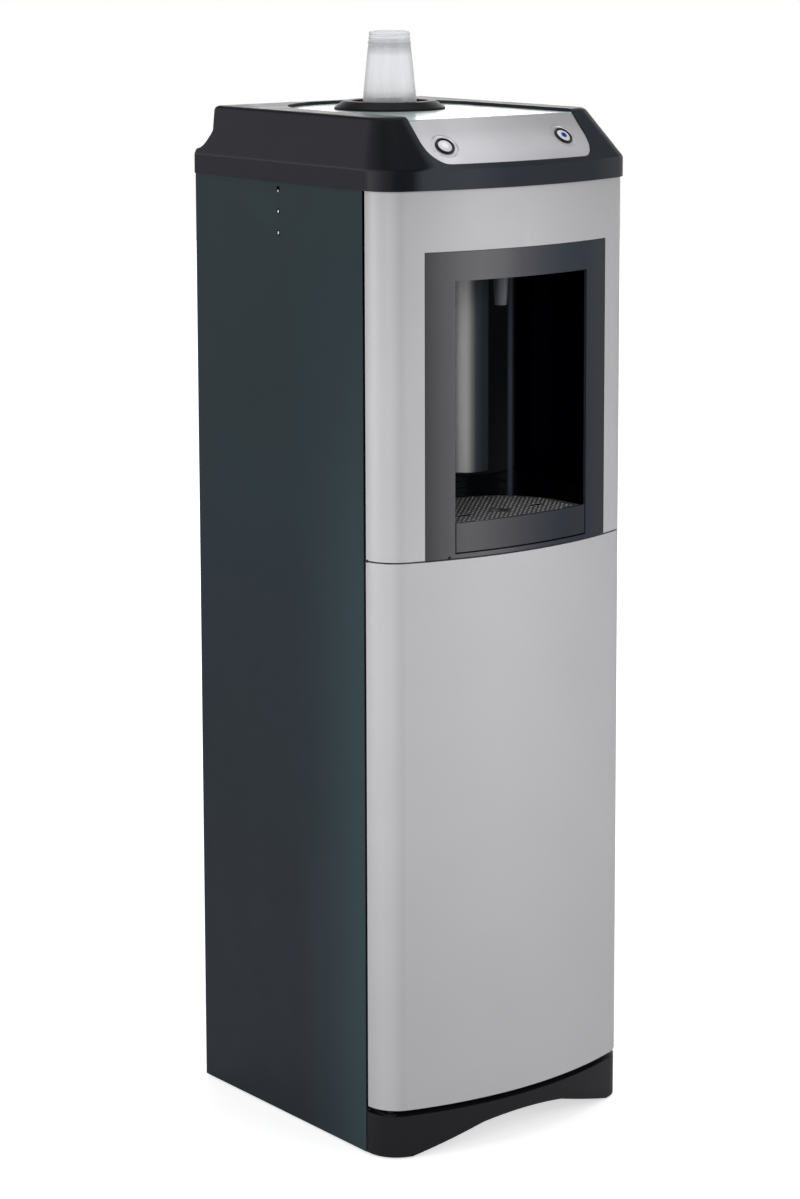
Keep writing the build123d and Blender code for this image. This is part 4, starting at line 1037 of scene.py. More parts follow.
# the finishes that carry the name of one of the record's material slots
FINISHES = (
    SIDE_STEEL, SILVER, BLACK_TRIM, CAP_BLACK, BEZEL, ALCOVE, COLUMN, TRAY, NOZZLE, PANEL, RING,
    BUTTON, MARK_PALE, MARK_BLUE, GLASS, COLLAR, CUP, INNER, ZINC, SPRING, MAGNET, COMPRESSOR,
    CONDENSER, STAINLESS, COPPER, FOAM, RUBBER, SILICONE, PART_DARK, BOARD)


# ------------------------------------------------------------------ the cabinet's plan
BOW_STEP = 0.8    # degrees of the bow to one step of its line
PLAIN_BOW = 44    # steps of a bow that needs no vertex at a set place


@dataclass(frozen=True)
class Outline:
    """Plan of the front: a bow between two round corners, with straight flanks behind."""

    half: float = 157.5
    corner: float = 35.5
    bow: float = 417.0
    nose: float = -169.45
    corner_steps: int = 18

    def offset(self, by: float) -> "Outline":
        """The outline a little larger, or smaller where the offset is negative."""
        return Outline(self.half + by, self.corner + by, self.bow + by, self.nose - by)

    @property
    def bow_y(self) -> float:
        """Y of the bow's centre."""
        return self.nose + self.bow

    @property
    def spread(self) -> float:
        """Half the bow's angle, in degrees."""
        return math.degrees(math.asin((self.half - self.corner) / (self.bow - self.corner)))

    @property
    def corner_y(self) -> float:
        """Y of the corners' centres, where the flanks start."""
        return self.bow_y - (self.bow - self.corner) * math.cos(math.radians(self.spread))

    def angle(self, x: float) -> float:
        """Angle of a place on the bow off the middle, in degrees."""
        return math.degrees(math.asin(x / self.bow))

    def front(self, x: float) -> float:
        """Y of the bow at a distance from the middle."""
        return self.bow_y - math.sqrt(self.bow ** 2 - x ** 2)

    def follow_bow(self, line: Workpiece, z: float, end: float, stations: Sequence[float],
                   steps: int = 0) -> None:
        """Spin a line's end along the bow from left to right.

        Args:
            line: the line, which stands at the bow's left end.
            z: height of the line.
            end: angle of the bow's right end off the middle, in degrees.
            stations: distances from the middle where the bow has a vertex, widest first.
            steps: steps from stop to stop; 0 counts them by BOW_STEP.
        """
        half_stops = [end] + [self.angle(x) for x in stations]
        stops = [-stop for stop in half_stops] + half_stops[::-1]
        for first, last in zip(stops, stops[1:]):
            line.arc((0, self.bow_y, z), last - first,
                     steps or max(2, round((last - first) / BOW_STEP)))

    def draw(self, name: str, z: float, back: float, stations: Sequence[float] = (),
             closed: bool = False) -> Workpiece:
        """Draw the outline as a line of edges.

        Args:
            name: name of the piece.
            z: height of the line.
            back: Y where the flanks end.
            stations: distances from the middle where the bow has a vertex, widest first.
            closed: whether a straight edge joins the flanks at the back.

        Returns:
            The piece, in edit mode.
        """
        side = self.half - self.corner
        turn = 90 - self.spread
        line = Workpiece.thread(name, (-self.half, back, z))
        if back != self.corner_y:
            line.line((-self.half, self.corner_y, z))
        line.arc((-side, self.corner_y, z), turn, self.corner_steps)
        self.follow_bow(line, z, self.spread, stations, 0 if stations else PLAIN_BOW)
        line.arc((side, self.corner_y, z), turn, self.corner_steps)
        if back != self.corner_y:
            line.line((self.half, back, z))
        if closed:
            line.line((-self.half, back, z))
            line.weld()
        return line

    def draw_bow(self, name: str, z: float, half: float,
                 stations: Sequence[float] = ()) -> Workpiece:
        """Draw only the middle of the bow.

        Args:
            name: name of the piece.
            z: height of the line.
            half: distance from the middle to either end.
            stations: distances from the middle where the bow has a vertex, widest first.

        Returns:
            The piece, in edit mode.
        """
        line = Workpiece.thread(name, (-half, self.front(half), z))
        self.follow_bow(line, z, self.angle(half), stations)
        return line


PLAN = Outline()
FRONT_EDGE = -109.85     # Y of the side panels' front edge
REAR = 171.95            # Y of their rear edge
SIDE_GAP = 3.6           # shadow gap between a side panel and the front mouldings
SHEET = 1.2              # wall of the steel sheet
MOULDING = 3.0           # wall of the front mouldings
CABINET_TOP = 966.0
UPPER_BOTTOM = 606.0     # foot of the upper front, over the door
SHELL_BACK = FRONT_EDGE - SIDE_GAP
BENT = 40.0      # degrees above which an edge of a bowed moulding is rounded


# ------------------------------------------------------------------ cabinet
@dataclass
class Cabinet:
    """Side panels, plinth, feet and back."""

    low: float = 2.0
    flange: float = 12.0
    hole: float = 2.0
    hole_z: Sequence[float] = (958.9, 936.2, 914.9)
    hole_y: float = 27.3
    tip_stretch: float = 1.5
    top_tip: tuple[float, float] = (0.7, -2.3)    # size and drop of the topmost tip
    base_top: float = 44.4
    arch_foot: float = 128.5
    arch_shoulder: float = 52.0
    arch_shoulder_z: float = 24.5
    arch_top: float = 28.8
    back_y: float = 146.95
    feet_x: float = 125.5
    feet_y: Sequence[float] = (-85.05, 126.95)
    condenser_y: float = 160.95
    condenser_low: float = 170.0
    condenser_pitch: float = 122.0
    condenser_half: float = 128.0
    condenser_bend: float = 30.0
    condenser_tube: float = 2.5
    passes: int = 7
    wires: int = 16
    wire: float = 0.8
    wire_reach: float = 12.0      # how far the wires stand out over the outer passes
    louvre_x: Point = (-105.0, -35.0)
    louvre_z: Point = (640.0, 644.0)
    louvre_rows: int = 7
    louvre_pitch: float = 14.0
    louvre_step: float = 140.0
    hood: float = 5.5
    inlet_x: Point = (-118.3, -90.3)
    inlet_z: Point = (86.0, 106.0)

    def side_panel(self, right: bool) -> Workpiece:
        """Folded steel side with its three accessory holes.

        Args:
            right: whether it is the right panel.

        Returns:
            The piece.
        """
        half = PLAN.half
        inner = half - SHEET
        name = "right_side" if right else "left_side"
        panel = Workpiece.block(name, (inner, half), (FRONT_EDGE, REAR), (self.low, CABINET_TOP))
        panel.slice((0, 0, CABINET_TOP - SHEET), (0, 0, 1))
        panel.slice((0, 0, self.low + SHEET), (0, 0, 1))
        panel.slice((0, REAR - SHEET, 0), (0, 1, 0))
        panel.pick(Kind.FACE, lambda at, way: way.x < -0.9 and (
            at.z > CABINET_TOP - SHEET or at.z < self.low + SHEET or at.y > REAR - SHEET))
        panel.extrude((-(self.flange - SHEET), 0, 0))
        for z in self.hole_z:
            drill = Workpiece.cylinder("drill", self.hole, -DRILL, DRILL, sides=24)
            panel.cut(drill.place(shift(half, self.hole_y, z) @ quarter("Y")))
        panel.soften(0.7, 3)
        return panel if right else panel.mirrored()

    def plug(self) -> Workpiece:
        """Socket of the snap plug in each accessory hole, near black as painted shade in the hole."""
        return Workpiece.turned("hole_plugs", [
            (0, 0.8), (2.3, 0.9), (2.6, 0.85), (2.7, 0.75), (1.9, 0.2), (1.9, -0.6), (2.9, -0.6),
            (2.7, -1.2), (0, -1.2)], steps=24).repeat(self.hole_turns())

    def hole_turns(self) -> list[Matrix]:
        """Place of each accessory hole, with Z out of the panel."""
        seat = PLAN.half - 0.7
        return [shift(side * seat, self.hole_y, z) @ quarter("Y", side)
                for side in (-1, 1) for z in self.hole_z]

    def plug_tips(self) -> Workpiece:
        """Pale tips of the snap plugs; the topmost one of each side sits low in its hole."""
        places = []
        for turn in self.hole_turns():
            top = near(turn.translation.z, self.hole_z[0])
            size, drop = self.top_tip if top else (1.0, 0.0)
            stretch = Matrix.Diagonal((self.tip_stretch * size, size, 1.0, 1.0))
            places.append(shift(z=drop) @ turn @ stretch)
        return Workpiece.turned("plug_tips", [
            (0, 1.3), (0.7, 1.2), (1.05, 0.9), (1.05, 0.0), (0, 0)], steps=20).repeat(places)

    def plinth(self) -> Workpiece:
        """Black skirt with an arch in its foot and a deck under the door."""
        outline = PLAN.offset(-0.7)
        skirt = outline.draw("plinth_skirt", self.low, FRONT_EDGE, closed=True)
        skirt.rise(self.base_top).lid(self.base_top)
        skirt.remove(lambda at, way: near(at.y, FRONT_EDGE))
        skirt.facing().thicken(MOULDING)
        arch = Workpiece.thread("arch", (-self.arch_foot, AHEAD, self.low))
        arch.line((-self.arch_shoulder, AHEAD, self.arch_shoulder_z))
        rise = self.arch_top - self.arch_shoulder_z
        radius = (self.arch_shoulder ** 2 + rise ** 2) / (2 * rise)
        turn = 2 * math.degrees(math.asin(self.arch_shoulder / radius))
        arch.arc((0, AHEAD, self.arch_top - radius), turn, 24, axis=(0, 1, 0))
        below = self.low - 9
        arch.line((self.arch_foot, AHEAD, self.low), (self.arch_foot, AHEAD, below),
                  (-self.arch_foot, AHEAD, below), (-self.arch_foot, AHEAD, self.low)).weld()
        return skirt.cut(arch.prism((0, SPAN - AHEAD, 0))).soften(0.8, 3, BENT)

    def foot(self) -> Workpiece:
        """Levelling feet: ribbed pad, nut and stem."""
        foot = Workpiece.turned("levelling_feet", [
            (0, 0), (14.5, 0), (15.6, 0.9), (16, 2.2), (15.2, 5.2), (12.5, 6.6), (8, 7.0),
            (0, 7.0)], steps=48)
        nut = Workpiece.cylinder("nut", 8.0, 7.0, 12.0, sides=6).soften(0.5, 2)
        stem = Workpiece.cylinder("stem", 4.6, 12.0, 43.2, sides=24)
        places = [shift(x, y) for x in (-self.feet_x, self.feet_x) for y in self.feet_y]
        return foot.join(nut, stem).repeat(places)

    def louvres(self, name: str, x: Point, y: Point, z: Point) -> Workpiece:
        """Start one louvre's block, at the lowest place on the left.

        Args:
            name: name of the piece.
            x: how far its ends lie outside the slot's.
            y: its limits behind the back panel's front face.
            z: how far its foot and top lie outside the slot's.

        Returns:
            The piece.
        """
        left, right = self.louvre_x
        low, high = self.louvre_z
        return Workpiece.block(name, (left - x[0], right + x[1]),
                               (self.back_y + y[0], self.back_y + y[1]), (low - z[0], high + z[1]))

    def back(self) -> Workpiece:
        """Back panel with louvres behind the compressor."""
        inner = PLAN.half - SHEET
        low, high = self.low + SHEET, CABINET_TOP - SHEET
        panel = Workpiece.block("back", (-inner, inner), (self.back_y, self.back_y + SHEET),
                                (low, high))
        panel.slice((inner - SHEET, 0, 0), (1, 0, 0)).slice((SHEET - inner, 0, 0), (1, 0, 0))
        panel.slice((0, 0, high - SHEET), (0, 0, 1))
        panel.pick(Kind.FACE, lambda at, way: way.y > 0.9 and abs(at.x) > inner - SHEET)
        panel.extrude((0, REAR - SHEET - self.back_y - SHEET, 0))
        panel.pick(Kind.FACE, lambda at, way: way.y > 0.9 and at.z > high - SHEET
                   and abs(at.x) < inner - SHEET)
        panel.extrude((0, self.flange - SHEET, 0))
        rows = [shift(step, 0, row * self.louvre_pitch)
                for row in range(self.louvre_rows) for step in (0, self.louvre_step)]
        slots = self.louvres("slots", (0, 0), (-PAST, PAST), (0, 0)).repeat(rows)
        inlet = Workpiece.block("inlet", self.inlet_x, (self.back_y - PAST, self.back_y + PAST),
                                self.inlet_z)
        panel.cut(slots).cut(inlet).soften(0.35, 2)
        hood = self.louvres("hood", (2, 2), (SHEET, self.hood), (1.4, 4.4))
        hood.pick(Kind.EDGE, lambda at, way: near(at.y, self.back_y + self.hood)
                  and at.z > self.louvre_z[1] + 2)
        bpy.ops.mesh.bevel(offset=3.6, segments=4, affect="EDGES")
        hood.cut(self.louvres("throat", (1, 1), (0, self.hood - SHEET), (10, 0.4)))
        return panel.join(hood.soften(0.3, 2).repeat(rows))

    def condenser(self) -> tuple[Workpiece, Workpiece]:
        """Serpentine tube and its upright wires.

        Returns:
            The tube and the wires.
        """
        y, bend, reach = self.condenser_y, self.condenser_bend, self.condenser_half
        tube = Workpiece.thread("condenser_pipe", (-reach, y, self.condenser_low))
        for number in range(self.passes):
            z = self.condenser_low + number * self.condenser_pitch
            side = 1 if number % 2 == 0 else -1
            if number == self.passes - 1:
                tube.line((side * reach, y, z))
                break
            turn = side * (reach - bend)
            tube.line((turn, y, z))
            tube.arc((turn, y, z + bend), 90, 8, axis=(0, -side, 0))
            tube.line((side * reach, y, z + self.condenser_pitch - bend))
            tube.arc((turn, y, z + self.condenser_pitch - bend), 90, 8, axis=(0, -side, 0))
        tube.as_tube(self.condenser_tube)
        outermost = reach - bend - 3
        off = self.condenser_tube + self.wire + 0.05
        places = [shift(outermost * (2 * number / (self.wires - 1) - 1), y + face * off)
                  for face in (-1, 1) for number in range(self.wires)]
        low = self.condenser_low - self.wire_reach
        high = self.condenser_low + (self.passes - 1) * self.condenser_pitch + self.wire_reach
        wire = Workpiece.cylinder("condenser_rods", self.wire, low, high, sides=8)
        return tube, wire.repeat(places)

    def build(self) -> None:
        """Make and dress every piece of the cabinet."""
        self.side_panel(False).finish(SIDE_STEEL, "cabinet", "left_side_panel")
        self.side_panel(True).finish(SIDE_STEEL, "cabinet", "right_side_panel")
        self.plinth().finish(BLACK_TRIM, "cabinet", "plinth")
        self.plug().finish(HOLE_SHADE, "cabinet", "hole_plugs", slot="part_dark")
        self.plug_tips().finish(MARK_PALE, "cabinet")
        self.foot().finish(RUBBER, "cabinet", "feet")
        self.back().finish(ZINC, "cabinet", "back_panel")
        tube, wires = self.condenser()
        tube.finish(CONDENSER, "cabinet", "condenser_tube")
        wires.finish(CONDENSER, "cabinet", "condenser_wires")


# ------------------------------------------------------------------ door
@dataclass
class Door:
    """Silver outer shell and the inner moulding behind it."""

    low: float = 50.9
    high: float = 604.5
    liner_wall: float = 5.7
    margin: float = 40.0          # liner above and below its sunk field
    field_half: float = 118.0
    hinge_at: Point = (-143.0, -131.05)
    pin: float = 3.0
    nose: float = 7.0
    grip: float = 8.0             # how far a pin reaches into the door
    lower_arm: Point = (44.4, 46.0)
    upper_arm: Point = (604.7, 605.8)

    def shell(self) -> Workpiece:
        """Outer shell with lips along its top and bottom."""
        shell = PLAN.draw("door_shell", self.low, SHELL_BACK)
        shell.rise(self.high)
        for z in (self.low, self.high):
            lip = PLAN.offset(-LIP).draw("lip", z, SHELL_BACK)
            shell.join(lip).bridge(lambda at, way, level=z: near(at.z, level))
        shell.weld().facing().thicken(MOULDING)
        shell.cut(Workpiece.cylinder("bore", 5.0, 0, 700, at=self.hinge_at, sides=32))
        return shell.soften(1.3, 4, BENT)

    def liner(self) -> Workpiece:
        """Inner moulding with a sunk field that faces the bottle bay."""
        low, high = self.low + MOULDING, self.high - MOULDING
        outline = PLAN.offset(-MOULDING - FIT - self.liner_wall)
        liner = outline.draw("door_inner", low, outline.corner_y)
        bottom, top = low + self.margin, high - self.margin
        liner.rise(bottom, top, high)
        liner.facing(away=False).thicken(self.liner_wall)
        liner.sink(lambda at, way: bottom < at.z < top and abs(at.x) < self.field_half
                   and way.y > 0.5, 6, 1.6)
        bush = self.grip + 2 + FIT
        for start, end in ((low - 1, self.low + bush), (self.high - bush, high + 1)):
            liner.cut(Workpiece.cylinder("bore", 5.3, start, end, at=self.hinge_at, sides=32))
        return liner.soften(0.8, 2, BENT)

    def hinge(self, upper: bool) -> Workpiece:
        """Hinge arm with a round nose and its pin.

        Args:
            upper: whether it is the hinge over the door.

        Returns:
            The piece.
        """
        x, y = self.hinge_at
        wide = (x - self.nose, x + self.nose)
        if upper:
            name, (low, high), back = "upper_arm", self.upper_arm, FRONT_EDGE + 5
            span = (self.high - self.grip, high)
        else:
            name, (low, high), back = "lower_arm", self.lower_arm, FRONT_EDGE + 24
            span = (low, self.low + self.grip)
        arm = Workpiece.block(name, wide, (y, back), (low, high))
        arm.fuse(Workpiece.cylinder("nose", self.nose, low, high, (x, y), 48))
        if upper:
            arm.fuse(Workpiece.block("tab", wide, (back - 1.6, back), (low - 16, high)))
        arm.soften(0.3, 2)
        if upper:
            arm.join(Workpiece.block("stop", (-157.7, -156.2), (-116.6, -114.4), (604.0, 607.0)))
        pin = Workpiece.cylinder("pin", self.pin, *span, at=self.hinge_at, sides=32)
        return arm.join(pin.soften(0.4, 2))

    def build(self) -> None:
        """Make and dress the door and its hinges."""
        self.hinge(False).finish(SHADED_HINGE, "cabinet", "lower_hinge", slot="galvanised")
        self.hinge(True).finish(SHADED_HINGE, "cabinet", "upper_hinge", slot="galvanised")
        self.shell().finish(SILVER, "door", "door_skin")
        self.liner().finish(INNER, "door", "door_liner")


# ------------------------------------------------------------------ upper front and alcove
@dataclass
class Dispenser:
    """Upper front, the dark frame in it, and the alcove with its tray."""

    window: float = 115.3
    window_top: float = 906.5
    bezel: float = 115.0
    bezel_top: float = 906.2
    opening: float = 84.0
    opening_top: float = 877.7
    tray_bottom: float = 610.0
    tray_gap: float = 1.4
    tray_top: float = 640.6
    basin_wall: float = 2.0
    alcove_y: float = -128.05
    liner_wall: float = 2.5
    floor: float = 607.2
    column_y: float = -72.55
    column_radius: float = 23.3
    column_bottom: float = 673.2
    tip: float = 845.4
    tray_half: float = 82.7
    grille_half: float = 81.1
    grille_thick: float = 3.0
    grille_top: float = 639.6
    pitch: float = 6.0
    hole: float = 1.35
    columns: int = 29
    rows: int = 22
    disc: float = 9.6
    slot_x: float = 48.0
    slot_half: float = 9.2
    slot_wide: float = 3.0        # half width of a finger slot
    dot: float = 1.9
    dot_at: Point = (-90.0, -159.6, 606.6)

    def upper_front(self) -> Workpiece:
        """Silver panel with the big window."""
        panel = PLAN.draw("upper_shell", UPPER_BOTTOM, SHELL_BACK, (self.window,))
        panel.rise(self.window_top, CABINET_TOP)
        lip = PLAN.offset(-LIP).draw("lip", UPPER_BOTTOM, SHELL_BACK, (self.window,))
        panel.join(lip).bridge(lambda at, way: near(at.z, UPPER_BOTTOM))
        panel.weld().facing()
        panel.remove(lambda at, way: abs(at.x) < self.window - 0.5 and at.z < self.window_top)
        return panel.thicken(MOULDING).soften(0.7, 3, BENT)

    def frame(self) -> Workpiece:
        """Dark frame round the alcove and the tray."""
        frame = PLAN.draw_bow("alcove_frame", UPPER_BOTTOM, self.bezel, (self.opening,))
        frame.rise(self.tray_bottom, self.opening_top, self.bezel_top)
        frame.facing()
        frame.remove(lambda at, way: abs(at.x) < self.opening
                     and self.tray_bottom < at.z < self.opening_top)
        frame.thicken(MOULDING)
        dot = Workpiece.cylinder("dot", self.dot, -DRILL, DRILL, sides=24)
        frame.cut(dot.place(shift(*self.dot_at) @ quarter("X")))
        return frame.soften(0.6, 3, BENT)

    def alcove_line(self, name: str, half: float, z: float, front: Outline) -> Workpiece:
        """Closed plan of the alcove: bowed front, straight sides and a round back.

        Args:
            name: name of the piece.
            half: half width, and radius of the back.
            z: height of the line.
            front: outline that the front edge follows.

        Returns:
            The piece, in edit mode.
        """
        line = front.draw_bow(name, z, half)
        line.line((half, self.alcove_y, z))
        line.arc((0, self.alcove_y, z), 180, 48)
        line.line((-half, front.front(half), z))
        return line.weld()

    def liner(self) -> Workpiece:
        """Gloss cavity with a floor and a ceiling, open to the front."""
        low, top = self.floor + self.liner_wall, self.opening_top
        liner = self.alcove_line("alcove_cavity", self.opening, low, PLAN.offset(-MOULDING - FIT))
        liner.rise(top).lid(top, low)
        liner.remove(lambda at, way: at.y < self.alcove_y - 20 and abs(way.y) > 0.9
                     and abs(way.z) < 0.1)
        liner.facing((0, self.alcove_y, 0), away=False).thicken(self.liner_wall)
        liner.cut(Workpiece.cylinder("bore", 10.3, top - PAST, top + DRILL, (0, self.alcove_y)))
        return liner.soften(0.5, 2, BENT)

    def column(self) -> Workpiece:
        """Half-round silver column down the alcove's back."""
        r, y = self.column_radius, self.column_y
        low, top = self.column_bottom, self.opening_top - 0.1
        back = self.alcove_y + math.sqrt((self.opening - 0.2) ** 2 - r ** 2)
        column = Workpiece.thread("silver_column", (-r, back, low))
        column.line((-r, y, low)).arc((0, y, low), 180, 48)
        column.line((r, back, low), (-r, back, low)).weld()
        return column.rise(top).lid(low, top).outward().soften(1.0, 3, 50)

    def tray(self) -> Workpiece:
        """Drip tray: bowed front plate and a basin with a ledge for the grille."""
        low, ledge = self.tray_bottom + self.tray_gap, self.grille_top
        front = PLAN.draw_bow("tray", low, self.tray_half)
        front.rise(self.tray_top).facing().thicken(MOULDING).soften(0.7, 3, BENT)
        basin = self.alcove_line("basin", self.tray_half, low, PLAN.offset(-MOULDING + 0.05))
        basin.rise(ledge).lid(low, ledge).outward()
        basin.pick(Kind.FACE, lambda at, way: near(at.z, ledge))
        for level in (ledge - self.grille_thick, low + self.basin_wall):
            bpy.ops.mesh.inset(thickness=self.basin_wall, depth=0)
            basin.extrude((0, 0, level - ledge))
            ledge = level
        return front.join(basin.soften(0.4, 2, 50))

    def grille(self) -> Workpiece:
        """Grille with rows of round holes, a dished disc and two finger slots."""
        low, top = self.grille_top - self.grille_thick, self.grille_top
        left, first = -self.pitch * (self.columns // 2), self.alcove_y - self.pitch * 7
        clear_selection()
        bpy.ops.mesh.primitive_circle_add(vertices=4, radius=self.pitch / math.sqrt(2),
                                          location=(left, first, low),
                                          rotation=(0, 0, math.pi / 4))
        tile = Workpiece("perforated_grille").edit().whole()
        bpy.ops.mesh.subdivide(number_cuts=2)
        clear_selection()
        bpy.ops.mesh.primitive_circle_add(vertices=12, radius=self.hole,
                                          location=(left, first, low))
        tile.join(Workpiece("hole")).bridge(lambda at, way: True)
        for count, step in ((self.columns, (self.pitch, 0, 0)), (self.rows, (0, self.pitch, 0))):
            tile.modify("ARRAY", count=count, constant_offset_displace=step,
                        use_relative_offset=False, use_constant_offset=True,
                        use_merge_vertices=True, merge_threshold=CLOSE)
        tile.weld(CLOSE)

        def blind(at: Vector, way: Vector) -> bool:
            """Whether a vertex is on the rim of a hole that stays closed."""
            x = left + round((at.x - left) / self.pitch) * self.pitch
            y = first + round((at.y - first) / self.pitch) * self.pitch
            if math.hypot(at.x - x, at.y - y) > self.hole + 0.2:
                return False
            off = math.hypot(x, y - self.alcove_y)
            inside = (off if y > self.alcove_y else abs(x)) < self.grille_half - 3.2
            behind = y > PLAN.offset(-MOULDING).front(x) + 4.2
            finger = math.hypot(max(abs(abs(x) - self.slot_x) - 6.5, 0.0), y - self.alcove_y)
            return not (inside and behind and off > self.disc + 2.6 and finger > 5.0)

        tile.pick(Kind.VERTEX, blind)
        bpy.ops.mesh.fill_holes(sides=12)
        tile.outward().modify("SOLIDIFY", thickness=self.grille_thick, offset=0.0)
        tile.place(shift(z=low - tile.foot))
        start, end = low - PAST, top + PAST
        trim = self.alcove_line("trim", self.grille_half, start, PLAN.offset(-MOULDING - FIT))
        tile.keep(trim.rise(end).lid(start, end).outward())
        for side in (-1, 1):
            tile.cut(self.finger_slot(side, 0.0, start, end))
        return tile.cut(Workpiece.turned("dish", [
            (0, top - 2.0), (3.5, top - 1.8), (6.5, top - 1.1), (8.6, top + 0.02), (8.8, top + 4),
            (0, top + 4)], (0, self.alcove_y), 48))

    def finger_slot(self, side: int, inset: float, low: float, high: float) -> Workpiece:
        """Upright oval bar in a finger slot's place.

        Args:
            side: -1 for the left slot and 1 for the right one.
            inset: how far it lies inside the slot's outline.
            low: height of its foot.
            high: height of its top.

        Returns:
            The piece.
        """
        x, y = side * self.slot_x, self.alcove_y
        half, wide = self.slot_half - inset, self.slot_wide - inset
        bar = Workpiece.block("slot", (x - half, x + half), (y - wide, y + wide), (low, high))
        return bar.modify("BEVEL", width=wide - 0.1, segments=4, limit_method="ANGLE",
                          angle_limit=0.6)

    def slot_linings(self) -> Workpiece:
        """Sleeves in the two finger slots, near black as painted shade in the slots."""
        low, high = self.grille_top - self.grille_thick, self.grille_top - 0.1
        sleeves = []
        for side in (-1, 1):
            sleeve = self.finger_slot(side, 0.1, low - 3, high + 3)
            sleeve.cut(self.finger_slot(side, 0.6, low - DRILL, high + DRILL))
            sleeve.keep(Workpiece.block("limit", (-SPAN, SPAN), (-SPAN, 0), (low + 0.1, high)))
            sleeves.append(sleeve)
        return sleeves[0].join(sleeves[1])

    def spout(self) -> Workpiece:
        """Tapered spout under the alcove's ceiling."""
        tip, top = self.tip, self.opening_top + self.liner_wall
        return Workpiece.turned("spout", [
            (3, tip), (5.0, tip), (5.9, tip + 0.4), (6.2, tip + 1.6), (6.3, tip + 6),
            (6.5, tip + 6.4), (8.0, top - 0.5), (8.2, top), (13, top), (13, top + 4),
            (3, top + 4)], (0, self.alcove_y), 64)

    def build(self) -> None:
        """Make and dress the dispenser."""
        self.upper_front().finish(SILVER, "cabinet", "upper_front")
        self.frame().finish(BEZEL, "cabinet", "alcove_bezel")
        self.liner().finish(ALCOVE, "cabinet", "alcove_liner")
        self.column().finish(COLUMN, "cabinet", "light_column")
        self.tray().finish(TRAY, "drip_tray", "drip_tray")
        self.grille().finish(GRILLE, "drip_grille", "drip_grille", slot="tray_dark")
        self.slot_linings().finish(HOLE_SHADE, "drip_grille", slot="tray_dark")
        self.spout().finish(NOZZLE, "cabinet", "nozzle")


